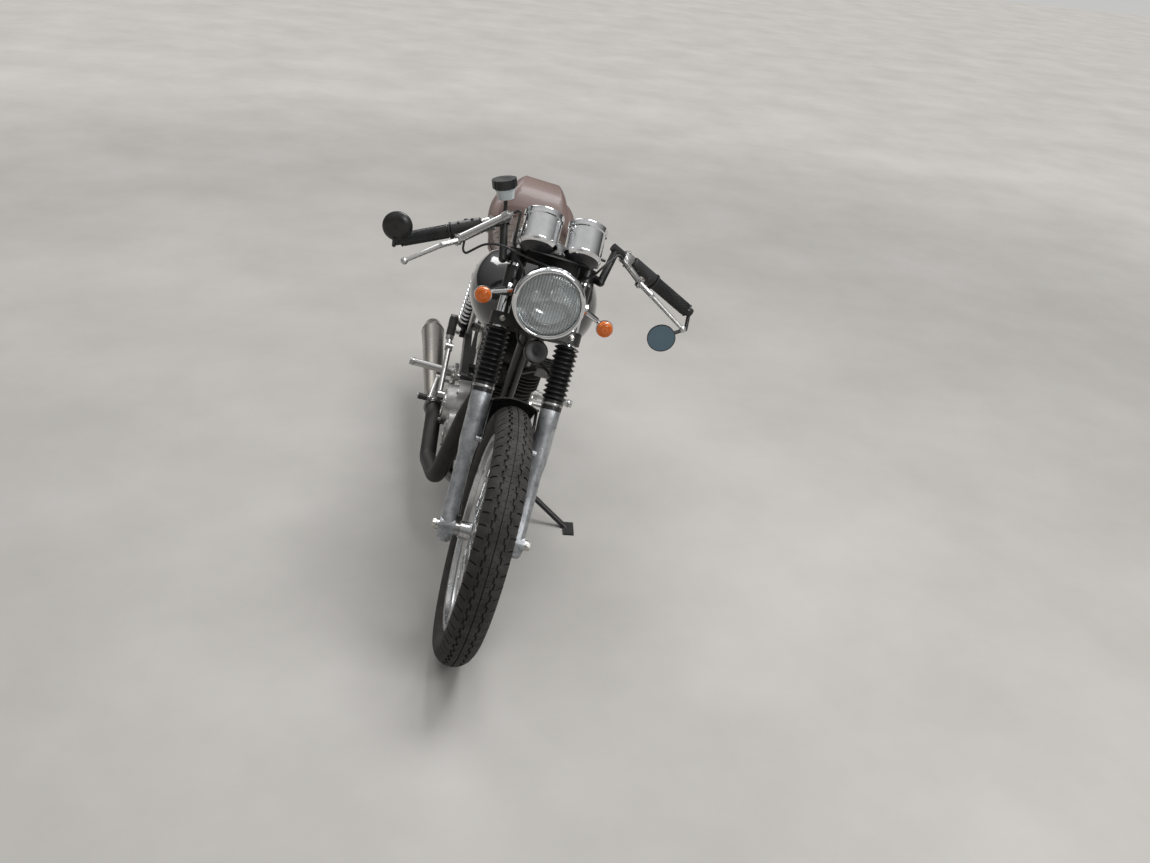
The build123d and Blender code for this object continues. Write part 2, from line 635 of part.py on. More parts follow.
# Rows: disc centre, bend of its arm and end of the arm off the bar's end, way the glass faces
mirror_table = {
    "right": (Vector(38, 16, 43), Vector(45, 13, -5), Vector(44, 16, 15), -1),
    "left": (Vector(40, -49, -80), Vector(18, 11, -46), Vector(34, -49, -80), 1),
}
mirrors = []
mirror_glasses = []
for side, (centre_shift, bend_shift, arm_shift, facing) in mirror_table.items():
    centre, bend, arm_end = [off_bar(side, bar_end_y, shift) for shift in (centre_shift, bend_shift, arm_shift)]
    plug = joined(rod(bar_point(side, bar_end_y + free_gap), bar_point(side, bar_end_y + 12), 13),
                  rod(bar_point(side, bar_end_y), bar_point(side, bar_end_y + 2), 8))
    plane = Plane(origin=centre, x_dir=(0, 1, 0), z_dir=(facing, 0, 0))
    shell = turned([(0, -12), (24, -10), (mirror_radius - 2, -3), (mirror_radius, 0), (mirror_radius, 4),
                    (mirror_radius - 2, 4), (mirror_radius - 2, 1), (0, 1)], plane)
    arm = joined(rod(bar_point(side, bar_end_y + 8), bend, 5), Pos(bend) * Sphere(5), rod(bend, arm_end, 5))
    mirrors.append(joined(plug, arm, shell))
    mirror_glasses.append(turned([(0, 1.05), (mirror_radius - 2.05, 1.05), (mirror_radius - 2.05, 3.5),
                                  (0, 3.5)], plane))
pieces["mirrors"] = Compound(mirrors)
pieces["mirror_glasses"] = Compound(mirror_glasses)

# Brake fluid reservoir on an arm from the right bar: a tapered cup under a black cap
reservoir_foot_radius, reservoir_radius = 20.0, 26.0
reservoir_cap_radius, reservoir_cap_height = 30.0, 20.0
reservoir_height = 30.0
reservoir_foot = off_bar("right", riser_y, (-2, 11, 57))
reservoir_axis = Vector(0, -0.38, 0.92).normalized()
reservoir_cap = reservoir_foot + reservoir_axis * reservoir_height
pieces["brake_reservoir"] = joined(
    rod(bar_point("right", riser_y), reservoir_foot + reservoir_axis * 4, 5),
    rod(reservoir_foot, reservoir_cap, reservoir_foot_radius, reservoir_radius),
    rod(reservoir_cap, reservoir_cap + reservoir_axis * reservoir_cap_height, reservoir_cap_radius),
) - pieces["clipons"]

# Brake hose and control cables, each clipped along the fork and clear of the lamp
hose_radius = 3.5
cable_radius = 3.0
nose_end = off_bar("right", perch_table["right"][2], perch_table["right"][3])
nose_run = (nose_end - off_bar("right", perch_table["right"][0], perch_table["right"][1])).normalized()
hose_start = nose_end + nose_run * (8 + pin_clearance)
pieces["brake_hose"] = cord_tube([
    hose_start, hose_start + nose_run * 22, on_fork(52, -112, 710), on_fork(44, -66, 668), on_fork(38, -52, 560),
    on_fork(36, -46, 496), on_fork(-40, 70, 446), on_fork(-46, 93, 400), on_fork(-46, 93, 240),
    on_fork(caliper_forward, 67, 206), caliper_port + Vector(*fork_plane.z_dir) * (6 + pin_clearance),
], hose_radius)
yoke_guide_up = lower_yoke_to + pin_clearance
throttle_start = off_bar("right", 232, (8, 0, -18))
clutch_end = off_bar("left", perch_table["left"][2], perch_table["left"][3])
clutch_run = (clutch_end - off_bar("left", perch_table["left"][0], perch_table["left"][1])).normalized()
clutch_start = clutch_end + clutch_run * (8 + pin_clearance)
speedometer_start = clock_centre_plane.from_local_coords(Vector(clock_spacing, 0, clock_plate_foot - pin_clearance))
cables = [
    cord_tube([throttle_start, throttle_start + Vector(14, 4, -50), on_fork(70, -168, 716), on_fork(78, -60, 694),
               on_fork(74, 20, 688), on_fork(22, 36, 640), on_fork(12, 36, yoke_guide_up)], cable_radius),
    cord_tube([clutch_start, clutch_start + clutch_run * 18, on_fork(66, 118, 730), on_fork(58, 104, 706),
               on_fork(30, 60, 672), on_fork(10, 56, 620), on_fork(8, 56, yoke_guide_up)], cable_radius),
    cord_tube([speedometer_start, speedometer_start - clock_axis * 14, on_fork(50, 52, 650),
               on_fork(26, 16, 590), on_fork(24, 16, yoke_guide_up)], cable_radius),
]
pieces["control_cables"] = Compound([
    largest(cable - pieces["lower_yoke"] - pieces["grips"] - pieces["perches"]) for cable in cables
])

# Front mudguard: a curved strip with beaded edges, on two pairs of stays
guard_gap = 18.0
guard_radius = front_tyre_radius + guard_gap
guard_half_width = 60.0
guard_side_drop = 14.0
guard_thickness = 3.0
guard_bead_radius = 3.5
guard_front, guard_back = 28.0, 104.0


def guard_strip(radius, half_width, side_drop, angle):
    """Curved mudguard strip about the Z axis, with a round bead along each edge."""
    foot = radius - side_drop
    strip = make_face([
        ThreePointArc((foot, 0, -half_width), (radius, 0, 0), (foot, 0, half_width)),
        Line((foot, 0, half_width), (foot + guard_thickness, 0, half_width)),
        ThreePointArc((foot + guard_thickness, 0, half_width), (radius + guard_thickness, 0, 0),
                      (foot + guard_thickness, 0, -half_width)),
        Line((foot + guard_thickness, 0, -half_width), (foot, 0, -half_width)),
    ])
    beads = []
    for sign in sides.values():
        bead_plane = Plane(origin=(foot + guard_thickness / 2, 0, sign * half_width), x_dir=(1, 0, 0),
                           z_dir=(0, -1, 0))
        beads.append(revolve(bead_plane * Circle(guard_bead_radius), Axis.Z, angle))
    return joined(revolve(strip, Axis.Z, angle), *beads)


def guard_edge(angle, sign):
    """Point on the front mudguard's edge, at an angle back from straight above the axle."""
    reach = guard_radius - guard_side_drop + guard_thickness / 2
    turn = math.radians(angle)
    return Vector(front_axle_x - reach * math.sin(turn), sign * guard_half_width,
                  front_tyre_radius + reach * math.cos(turn))


front_strip = guard_strip(guard_radius, guard_half_width, guard_side_drop, guard_back - guard_front)
guard_stays = []
stay_radius = 4.0
rear_stay_up = 30.0
for sign in sides.values():
    strap_root = on_fork(stay_boss_forward, sign * stay_boss_inner, stay_boss_up)
    rear_root = on_fork(0, sign * (leg_inner_face - 4), rear_stay_up)
    guard_stays += [
        rod(strap_root, guard_edge(guard_front + 4, sign), stay_radius),
        rod(strap_root, guard_edge(guard_front + 26, sign), stay_radius),
        rod(rear_root, guard_edge(guard_back - 16, sign), stay_radius),
        rod(on_fork(0, sign * leg_inner_face, rear_stay_up), on_fork(0, sign * (leg_inner_face - 8), rear_stay_up), 8),
    ]
pieces["front_mudguard"] = joined(
    front_axle_plane * (Rot(0, 0, -90 - guard_back) * front_strip), *guard_stays) - pieces["fork_legs"]

# Steering head, spine and downtube of the frame
spine_back = (-150.0, 0.0, 700.0)
spine_radius = 20.0
spine_front = on_fork(-fork_offset - 22, 0, 614)
downtube_top = on_fork(-fork_offset - 30.6, 0, 623)
downtube_foot = Vector(256.0, 0.0, 360.0)
downtube_radius = 19.0
head_bore = stem_radius + pin_clearance
head_tube = turned([(head_bore, lower_yoke_to + free_gap), (head_radius, lower_yoke_to + free_gap),
                    (head_radius, upper_yoke_from - free_gap), (head_bore, upper_yoke_from - free_gap)],
                   axis_plane(0))
head_core = turned([(0, lower_yoke_to - 5), (head_bore, lower_yoke_to - 5),
                    (head_bore, upper_yoke_from + 5), (0, upper_yoke_from + 5)], axis_plane(0))

# Voltage regulator: a finned box on a strap beside the downtube
regulator_centre = Vector(232, 84, 625)
regulator_size = (44, 46, 26)
regulator_fins = 6
regulator = Box(*regulator_size)
for fin in range(regulator_fins):
    fin_x = (fin / (regulator_fins - 1) - 0.5) * (regulator_size[0] - 3)
    regulator = joined(regulator, Pos(fin_x, 0, regulator_size[2] / 2 + 5) * Box(3, regulator_size[1], 12))
pieces["regulator"] = Pos(regulator_centre) * Rot(0, 30, 0) * regulator
regulator_strap = rod((292, 8, 615), regulator_centre, 5)
pieces["frame_spine"] = joined(
    head_tube,
    rod(spine_front, spine_back, spine_radius),
    rod(downtube_top, downtube_foot, downtube_radius),
    regulator_strap,
) - head_core - pieces["regulator"]

# Cradle under the engine, with the swingarm pivot and the side stand's lug
cradle_radius = 13.0
cradle_y = 78.0
case_foot_z = 172.0
case_top_z = 415.0
upright_x, upright_y = -195.0, 46.0
pivot_x, pivot_z = -188.0, 345.0
pivot_radius = 8.0
arm_inner, arm_outer = 86.0, 110.0
cross_z = case_foot_z - 12
cradle = []
for sign in sides.values():
    cradle.append(bent_tube(
        [(downtube_foot.X + 6, sign * 8, downtube_foot.Z + 26), (238, sign * 60, 205), (120, sign * cradle_y, 158),
         (-150, sign * cradle_y, 158), (upright_x, sign * upright_y, 240), (upright_x, sign * upright_y, 560),
         (spine_back[0], sign * upright_y, 714)],
        cradle_radius, 40))
    cradle.append(rod((upright_x, sign * upright_y, 320), (-150, sign * upright_y, 320), 9))
cross_tubes = [
    rod((spine_back[0], -60, 714), (spine_back[0], 60, 714), 12),
    rod((-168, -60, 185), (-168, 60, 185), 11),
    rod((pivot_x, -arm_inner + free_gap, pivot_z), (pivot_x, arm_inner - free_gap, pivot_z), 20),
    rod((100, -cradle_y, cross_z), (100, cradle_y, cross_z), 12),
    rod((-40, -cradle_y, cross_z), (-40, cradle_y, cross_z), 12),
    rod((downtube_foot.X, 0, downtube_foot.Z + 6), (170, 0, 344), 13),
]
pivot_bore = rod((pivot_x, -130, pivot_z), (pivot_x, 130, pivot_z), pivot_radius + pin_clearance)
pieces["frame_cradle"] = joined(*cradle, *cross_tubes) - pivot_bore - pieces["frame_spine"]

# Seat rails behind the tank
rail_radius = 11.0
rail_y = 92.0
rail_end_x = -760.0
tray_foot_z = 740.0
rail_z = tray_foot_z - rail_radius
shock_top = (-455.0, 118.5, 632.0)
rails = []
for sign in sides.values():
    rails += [
        bent_tube([(spine_back[0], sign * upright_y, rail_z), (-240, sign * rail_y, rail_z),
                   (-470, sign * (rail_y - 1), rail_z), (rail_end_x, sign * 84, rail_z)], rail_radius, 60),
        rod((upright_x, sign * upright_y, 440), (shock_top[0], sign * rail_y, rail_z), 10),
        rod((shock_top[0], sign * rail_y, shock_top[2]), (shock_top[0], sign * rail_y, rail_z), 10),
        rod((shock_top[0], sign * 84, shock_top[2]), (shock_top[0], sign * 134, shock_top[2]), 7),
    ]
rails.append(rod((shock_top[0], -rail_y, rail_z), (shock_top[0], rail_y, rail_z), 9))
rails.append(rod((rail_end_x + 5, -84, rail_z), (rail_end_x + 5, 84, rail_z), 9))
pieces["frame_rails"] = joined(*rails) - pieces["frame_cradle"] - pieces["frame_spine"]

# Swingarm, its pivot pin and the rear axle
shock_foot = (rear_axle_x + 75, 118.5, rear_tyre_radius - 8)
arms = []
for sign in sides.values():
    arm = plate([(pivot_x, pivot_z - 20), (pivot_x, pivot_z + 22), (rear_axle_x + 100, rear_tyre_radius + 22),
                 (rear_axle_x - 35, rear_tyre_radius + 20), (rear_axle_x - 42, rear_tyre_radius),
                 (rear_axle_x - 35, rear_tyre_radius - 20), (rear_axle_x + 100, rear_tyre_radius - 22)],
                sign * arm_inner, sign * arm_outer)
    arm = joined(arm, rod((pivot_x, sign * arm_inner, pivot_z), (pivot_x, sign * arm_outer, pivot_z), 26),
                 rod((shock_foot[0], sign * 100, shock_foot[2]), (shock_foot[0], sign * 132, shock_foot[2]), 7))
    arm -= rod((rear_axle_x, -160, rear_tyre_radius), (rear_axle_x, 160, rear_tyre_radius), axle_bore)
    arms.append(arm - pivot_bore)
brace = rod((-300, -100, 338), (-300, 100, 338), 16)
pieces["swingarm"] = joined(*arms, brace)
pin_end = arm_outer + 10
pivot_pin = joined(
    rod((pivot_x, -pin_end, pivot_z), (pivot_x, pin_end, pivot_z), pivot_radius),
    rod((pivot_x, -pin_end, pivot_z), (pivot_x, -arm_outer - pin_clearance, pivot_z), 14),
    rod((pivot_x, arm_outer + pin_clearance, pivot_z), (pivot_x, pin_end, pivot_z), 14),
)
rear_axle_end = 130.0
rear_nut_end = 124.0
rear_axle = rod((rear_axle_x, -rear_axle_end, rear_tyre_radius), (rear_axle_x, rear_axle_end, rear_tyre_radius),
                axle_radius)
spacer_left = chain_line + sprocket_thickness / 2 + free_gap
brake_plate_outer = -56.0
for start, end, radius in [
    (spacer_left, arm_inner - pin_clearance, 16),
    (arm_outer + pin_clearance, rear_nut_end, 17),
    (-rear_nut_end, -arm_outer - pin_clearance, 17),
    (-arm_inner + pin_clearance, brake_plate_outer - pin_clearance, 16),
]:
    spacer = rod((rear_axle_x, start, rear_tyre_radius), (rear_axle_x, end, rear_tyre_radius), radius)
    rear_axle = joined(rear_axle, spacer)
pieces["rear_axle"] = Compound([rear_axle, pivot_pin])
brake_drum_radius = rear_hub_flange_radius - 12 - free_gap
pieces["rear_brake_plate"] = turned(
    [(axle_bore, brake_plate_outer), (40, brake_plate_outer), (brake_drum_radius - 2, -50),
     (brake_drum_radius, rear_hub_right), (brake_drum_radius, rear_hub_right + 18),
     (axle_bore, rear_hub_right + 18)], rear_axle_plane)

# Rear shocks: damper body, chrome spring and eyes
spring_radius = 26.0
spring_wire = 4.5
spring_turns = 11
spring_foot, spring_top_drop = 68.0, 53.0
eye_radius = 16.0
shocks = []
springs = []
for sign in sides.values():
    top, foot = mirrored(shock_top, sign), mirrored(shock_foot, sign)
    plane = Plane(origin=foot, x_dir=(0, 1, 0), z_dir=top - foot)
    length = (top - foot).length
    damper = turned([(0, 12), (7.5, 12), (7.5, 44), (24, 56), (31, 60), (31, 66), (19, 70), (19, 150), (9, 152),
                     (9, length - 54), (20, length - 54), (31, length - 50), (31, length - 44),
                     (24, length - 36), (16, length - 14), (0, length - 14)], plane)
    eyes = []
    for end in (foot, top):
        across = Vector(0, 8, 0)
        eyes.append(rod(end - across, end + across, eye_radius)
                    - rod(end - across * 4, end + across * 4, 7 + pin_clearance))
    spring_length = length - spring_foot - spring_top_drop
    helix = Helix(pitch=spring_length / spring_turns, height=spring_length - spring_wire * 2, radius=spring_radius)
    section = Plane(origin=helix @ 0, z_dir=helix % 0) * Circle(spring_wire)
    springs.append(plane * (Pos(0, 0, spring_foot + spring_wire) * sweep(section, path=helix)))
    shocks.append(joined(damper, *eyes))
pieces["shocks"] = Compound(shocks)
pieces["shock_springs"] = Compound(springs)

# Drive chain: waisted side plates round both sprockets, with an open middle for the teeth
front_sprocket_x, front_sprocket_z = -100.0, 335.0
chain_half_width = 8.0
chain_slot_half_width = sprocket_thickness / 2 + free_gap
chain_pin_half_height = 7.5
chain_waist_half_height = 5.5
chain_slot_rise = 4.0
centre_run = Vector(rear_axle_x - front_sprocket_x, 0, rear_tyre_radius - front_sprocket_z)


def chain_loop(radius_change):
    """Closed outline round both sprockets, made larger or smaller than the pitch line."""
    small = Circle(front_pitch_radius + radius_change)
    large = Pos(centre_run.length, 0) * Circle(rear_pitch_radius + radius_change)
    return make_hull((small + large).edges())


def waisted_loop(side_sign):
    """Edge of the side plates: full height at each pin and a waist half way to the next."""
    line = chain_loop(0).faces()[0].outer_wire()
    half_links = round(line.length / chain_pitch) * 2
    centre = line.center()
    points = []
    for step in range(half_links):
        share = step / half_links
        point, along = line @ share, line % share
        outward = Vector(along.Y, -along.X, 0)
        if outward.dot(point - centre) < 0:
            outward = -outward
        height = chain_pin_half_height if step % 2 == 0 else chain_waist_half_height
        points.append(point + outward * (side_sign * height))
    return make_face(Polyline(*points, close=True))


chain_band = extrude(waisted_loop(1), amount=chain_half_width, both=True)
chain_band -= extrude(waisted_loop(-1), amount=chain_half_width, both=True)
chain_band -= extrude(chain_loop(chain_slot_rise), amount=chain_slot_half_width, both=True)
chain_plane = Plane(origin=(front_sprocket_x, chain_line, front_sprocket_z), x_dir=centre_run, z_dir=(0, 1, 0))
pieces["drive_chain"] = chain_plane * chain_band

# Engine: crankcase, side covers, finned cylinder and head
case_half_width = 57.0
case_outline = [(-165, 300), (-150, 205), (-60, case_foot_z), (120, case_foot_z), (170, 215), (180, 330), (150, 405),
                (100, 430), (10, 420), (-60, case_top_z), (-130, 400), (-160, 360)]
barrel_lean = math.radians(12)
barrel_height = 118.0
barrel_plane = Plane(origin=(75, 0, case_top_z), x_dir=(math.cos(barrel_lean), 0, -math.sin(barrel_lean)),
                     z_dir=(math.sin(barrel_lean), 0, math.cos(barrel_lean)))
front_sprocket = Pos(front_sprocket_x, chain_line, front_sprocket_z) * Rot(90, 0, 0) * sprocket_disc(
    front_sprocket_teeth)
output_shaft = rod((front_sprocket_x, case_half_width - 5, front_sprocket_z),
                   (front_sprocket_x, chain_line + 12, front_sprocket_z), 14)
crankcase = plate(case_outline, -case_half_width, case_half_width)
crankcase -= barrel_plane * (Pos(0, 0, 50) * Box(220, 220, 100))
pieces["crankcase"] = joined(crankcase, output_shaft, front_sprocket)
pieces["frame_cradle"] -= pieces["crankcase"]


def cover(sign, steps):
    """Stepped round cover on one side of the crankcase: rows of (x, z, radius, from, to)."""
    parts = [rod((x, sign * start, z), (x, sign * end, z), radius, radius - 5) for x, z, radius, start, end in steps]
    return joined(parts[0], *parts[1:])


cover_right = cover(-1, [
    (85, 292, 88, case_half_width, 100),
    (-45, 308, 92, case_half_width, 112),
    (-45, 308, 68, 112, 142),
    (85, 292, 60, 100, 124),
])
cover_left = cover(1, [
    (85, 292, 90, case_half_width, 96),
    (85, 292, 74, 96, 116),
    (85, 292, 30, 116, 121),
])
pieces["engine_covers"] = Compound([cover_right, cover_left])

fin_pitch = 12.0
fin_thickness = 3.0
cylinder_fins, head_fins = 9, 5
barrel = Pos(0, 0, barrel_height / 2) * Cylinder(56, barrel_height)
for fin in range(cylinder_fins):
    barrel = joined(barrel, Pos(0, 0, 10 + fin * fin_pitch) * extrude(RectangleRounded(168, 168, 40), fin_thickness))
pieces["engine_cylinder"] = barrel_plane * barrel
engine_head = Pos(0, 0, barrel_height + 45) * Box(96, 84, 89.9)
for fin in range(head_fins):
    head_fin = extrude(RectangleRounded(172, 190, 44), fin_thickness)
    engine_head = joined(engine_head, Pos(0, 0, barrel_height + 6 + fin * fin_pitch) * head_fin)
engine_head = joined(
    engine_head,
    Pos(0, 0, barrel_height + 80) * extrude(RectangleRounded(120, 128, 24), 28),
    *[Pos(sign * 58, 0, barrel_height + 92) * Rot(90, 0, 0) * Cylinder(19, 80) for sign in sides.values()],
)
header_radius = 25.0
port_start = (165.0, -34.0, 560.0)
port_end = (228.0, -56.0, 550.0)
pieces["engine_head"] = barrel_plane * engine_head - rod(port_start, port_end, header_radius + 0.3)

# Carburettor with a cone filter behind the engine
intake_z = 590.0
pieces["carburettor"] = joined(
    rod((52, 0, intake_z), (-10, 0, intake_z), 24),
    rod((-10, 0, intake_z), (-75, 0, intake_z), 30),
    rod((-42, 0, intake_z - 70), (-42, 0, intake_z), 27),
    rod((-42, 0, intake_z), (-42, 0, intake_z + 60), 29),
) - pieces["engine_head"]
pieces["air_filter"] = rod((-75, 0, intake_z), (-150, 0, intake_z), 34, 44)

# Exhaust: header pipe down the right front and a slender cone silencer
silencer_front = Vector(-165.0, -168.0, 240.0)
silencer_back = Vector(-752.0, -222.0, 268.0)
silencer_run = silencer_back - silencer_front
header_join = silencer_front - silencer_run.normalized() * 80
pieces["exhaust_header"] = bent_tube(
    [port_start, port_end, (246, -92, 420), (212, -118, 186), (60, -150, 166), header_join, silencer_front],
    header_radius, [24, 60, 60, 60, 60])
silencer_length = silencer_run.length
silencer_plane = Plane(origin=silencer_front, x_dir=(0, 1, 0), z_dir=silencer_run)
silencer_bore = header_radius + 0.3
pieces["exhaust_silencer"] = turned(
    [(silencer_bore, -30), (30, -30), (30, 10), (28, 16), (28, 40), (40, silencer_length - 60),
     (40, silencer_length - 52), (30, silencer_length), (25, silencer_length), (25, silencer_length - 120),
     (0, silencer_length - 120), (0, 2), (silencer_bore, 2)], silencer_plane)

# Fuel tank: a solid loft, hollowed below for the frame spine
tank_sections = [
    (318, 76, 102, 70, 752, 858, 888),
    (282, 112, 146, 106, 728, 876, 908),
    (215, 132, 175, 142, 708, 888, 922),
    (120, 134, 174, 140, 704, 882, 922),
    (0, 116, 150, 110, 712, 852, 898),
    (-108, 80, 98, 68, 744, 798, 828),
]


def body_section(x, foot_half, side_half, top_half, foot_z, shoulder_z, top_z):
    """Cross-section of a bodywork loft: flat foot, bulged flanks and an arched top."""
    flank_z = foot_z + (shoulder_z - foot_z) * 0.5
    return make_face([
        Line((x, -foot_half, foot_z), (x, foot_half, foot_z)),
        ThreePointArc((x, foot_half, foot_z), (x, side_half, flank_z), (x, top_half, shoulder_z)),
        ThreePointArc((x, top_half, shoulder_z), (x, 0, top_z), (x, -top_half, shoulder_z)),
        ThreePointArc((x, -top_half, shoulder_z), (x, -side_half, flank_z), (x, -foot_half, foot_z)),
    ])


tank = loft([body_section(*row) for row in tank_sections])
tunnel_half = spine_radius + 14
tunnel = plate([(340, 690), (340, 876), (-130, 790), (-130, 690)], -tunnel_half, tunnel_half)
pieces["fuel_tank"] = tank - tunnel
spine_pads = [rod((x, 0, foot), (x, 0, top), 15) for x, foot, top in ((250, 816, 864), (-60, 726, 808))]
pieces["frame_spine"] = joined(pieces["frame_spine"], *spine_pads) - pieces["fuel_tank"]
cap_x = 150.0
cap_radius = 30.0
pieces["fuel_cap"] = rod((cap_x, 0, 900), (cap_x, 0, 935), cap_radius) - pieces["fuel_tank"]
pieces["fuel_cap"] = max(pieces["fuel_cap"].solids(), key=lambda solid: solid.center().Z)

# Seat, and the humped tail behind it that rises from a steep back rest
seat_foot_z = 752.0
seat_back_x = -522.0
seat_sections = [
    (-112, 70, 86, 62, seat_foot_z, 780, 806),
    (-200, 96, 110, 84, seat_foot_z, 778, 800),
    (-340, 126, 137, 106, seat_foot_z, 784, 812),
    (seat_back_x + 2, 132, 143, 112, seat_foot_z, 806, 838),
]
# Rows: x, half-widths of the foot, flank, corner and flat top, then heights of foot, corner and top
tail_sections = [
    (seat_back_x, 130, 142, 118, 84, 744, 806, 846),
    (-560, 132, 150, 112, 74, 744, 852, 902),
    (-600, 132, 150, 100, 64, 745, 874, 926),
    (-680, 124, 142, 94, 56, 748, 870, 920),
    (-770, 104, 120, 78, 40, 758, 844, 890),
    (-848, 72, 84, 54, 20, 778, 820, 848),
]
tray_sections = [(-109, 80), (-340, 132), (seat_back_x - 6, 136)]


def hump_section(x, foot_half, side_half, corner_half, top_half, foot_z, corner_z, top_z):
    """Cross-section of the tail: bulged flanks, sloping shoulders and a flat top."""
    flank_z = foot_z + (corner_z - foot_z) * 0.45
    edges = [Line((x, -foot_half, foot_z), (x, foot_half, foot_z)), Line((x, top_half, top_z), (x, -top_half, top_z))]
    shoulder = Vector(x, (corner_half + top_half) / 2 + 4, (corner_z + top_z) / 2 + 4)
    for sign in sides.values():
        edges.append(ThreePointArc((x, sign * foot_half, foot_z), (x, sign * side_half, flank_z),
                                   (x, sign * corner_half, corner_z)))
        edges.append(ThreePointArc((x, sign * corner_half, corner_z), mirrored(shoulder, sign),
                                   (x, sign * top_half, top_z)))
    return make_face(edges)


def flat_section(x, half, foot_z, top_z):
    return make_face(Polyline((x, -half, foot_z), (x, half, foot_z), (x, half, top_z), (x, -half, top_z),
                              close=True))


pieces["seat_pad"] = loft([body_section(*row) for row in seat_sections])
tray_top_z = seat_foot_z - pin_clearance
tray = loft([flat_section(x, half, tray_foot_z, tray_top_z) for x, half in tray_sections], ruled=True)
tail = loft([hump_section(*row) for row in tail_sections])
pieces["tail_cowl"] = largest(joined(tail, tray) - pieces["frame_rails"])
tail_lamp_x, tail_lamp_z = -842.0, 806.0
pieces["tail_lamp"] = rod((tail_lamp_x, 0, tail_lamp_z), (tail_lamp_x - 30, 0, tail_lamp_z), 34, 30)
pieces["tail_lamp"] -= pieces["tail_cowl"]
pieces["tail_lamp"] = min(pieces["tail_lamp"].solids(), key=lambda solid: solid.center().X)

# Rear mudguard under the seat, hung from the rails
rear_guard_radius = rear_tyre_radius + 26
rear_guard_half_width = 62.0
rear_guard_front, rear_guard_back = 45.0, 65.0
rear_strip = guard_strip(rear_guard_radius, rear_guard_half_width, 12.0, rear_guard_front + rear_guard_back)


def rear_guard_hanger(x):
    """Post from the top of the rear mudguard up to the rails."""
    rise = math.sqrt(rear_guard_radius ** 2 - (x - rear_axle_x) ** 2)
    return rod((x, 0, rear_tyre_radius + rise + 1), (x, 0, rail_z), 8)


pieces["rear_mudguard"] = joined(
    rear_axle_plane * (Rot(0, 0, -90 - rear_guard_front) * rear_strip),
    rear_guard_hanger(rail_end_x + 5), rear_guard_hanger(shock_top[0]),
) - pieces["frame_rails"]

pieces["rear_indicators"] = Compound([
    indicator((-700, sign * 90, 728), (-716, sign * 150, 700), -1) - pieces["frame_rails"] for sign in sides.values()
])

# Side panels under the seat
panel_inner, panel_outer = 116.0, 122.0
panels = []
for sign in sides.values():
    panel = plate([(-215, 610), (-390, 655), (-405, 640), (-330, 470), (-300, 455), (-240, 520)],
                  sign * panel_inner, sign * panel_outer)
    tab = rod((-340, sign * 70, 600), (-340, sign * (panel_inner + 2), 600), 8)
    panels.append(largest(joined(panel, tab) - pieces["frame_rails"]))
pieces["side_panels"] = Compound(panels)

# Rear-set foot controls: a bracket, a peg and the pedal or lever in front of it
bracket_from, bracket_to = arm_outer + 10.1, arm_outer + 20
peg_x, peg_z = -246.0, 332.0
post_x, post_z = -196.0, 322.0
toe_x, toe_y, toe_z = -98.0, 186.0, 288.0
rearsets = []
for sign in sides.values():
    bracket = plate([(-165, 375), (-215, 380), (-290, 345), (-290, 318), (-240, 305), (-170, 312)],
                    sign * bracket_from, sign * bracket_to)
    rearsets.append(joined(
        bracket,
        rod((peg_x, sign * (bracket_to - 2), peg_z), (peg_x, sign * 276, peg_z), 12),
        rod((peg_x, sign * (bracket_to - 2), peg_z), (peg_x, sign * 158, peg_z), 17),
        rod((post_x, sign * (bracket_to - 2), post_z), (post_x, sign * 184, post_z), 9),
        rod((post_x, sign * 177, post_z), (toe_x, sign * toe_y, toe_z), 7),
        rod((toe_x, sign * (toe_y - 6), toe_z), (toe_x, sign * 228, toe_z), 8),
        Pos(toe_x, sign * toe_y, toe_z) * Sphere(8),
    ))
pieces["rearsets"] = Compound(rearsets)

# Kick-starter folded back on the right: shaft, crank, knuckle and folded pedal
kick_x, kick_z = -120.0, 300.0
kick_knuckle = Vector(-262, -166, 408)
kick_pedal_from, kick_pedal_to = Vector(-288, -171, 424), Vector(-332, -173, 492)
pieces["kick_starter"] = joined(
    rod((kick_x, -108, kick_z), (kick_x, -166, kick_z), 15),
    rod((kick_x, -160, kick_z), kick_knuckle, 9),
    rod(kick_knuckle - Vector(0, 12, 0), kick_knuckle + Vector(0, 12, 0), 14),
    rod(kick_knuckle, kick_pedal_from, 9),
    rod(kick_pedal_from, kick_pedal_to, 13),
    Pos(kick_pedal_from) * Sphere(10),
) - pieces["engine_covers"]

# Side stand: it turns on a pin below the left cradle tube
stand_pivot = Vector(40.0, 116.0, 170.0)
stand_foot_ground = Vector(104, 336, 0)
stand_radius = 9.0
stand_pin_radius = 6.0
lean = math.radians(lean_angle)
lift = tyre_crown_radius * (1 - math.cos(lean))
foot_y = stand_foot_ground.Y * math.cos(lean) - (stand_foot_ground.Z - lift) * math.sin(lean)
foot_z = stand_foot_ground.Y * math.sin(lean) + (stand_foot_ground.Z - lift) * math.cos(lean)
stand_foot = Vector(stand_foot_ground.X, foot_y, foot_z)
down_run = (stand_foot - stand_pivot).normalized()
up_run = Vector(-0.97, 0.24, 0.0).normalized()
stand_axis = down_run.cross(up_run).normalized()
stand_plane = Plane(origin=stand_pivot, x_dir=down_run, z_dir=stand_axis)
fork_slot = 10.0
lug_thickness = 8.0
tongue = extrude(make_hull((Circle(17) + Pos(26, 0) * Circle(9)).edges()), amount=fork_slot / 2, both=True)
stand = stand_plane * joined(
    tongue, stand_plane.to_local_coords(rod(stand_pivot, stand_foot, stand_radius)) - Cylinder(24, 60))
foot_pad_plane = Plane(origin=stand_foot, x_dir=(1, 0, 0), z_dir=(0, math.sin(-lean), math.cos(lean)))
stand = joined(stand, foot_pad_plane * (Pos(8, 6, 3) * Box(70, 34, 6)))
stand -= foot_pad_plane * (Pos(0, 0, -40) * Box(300, 300, 80))
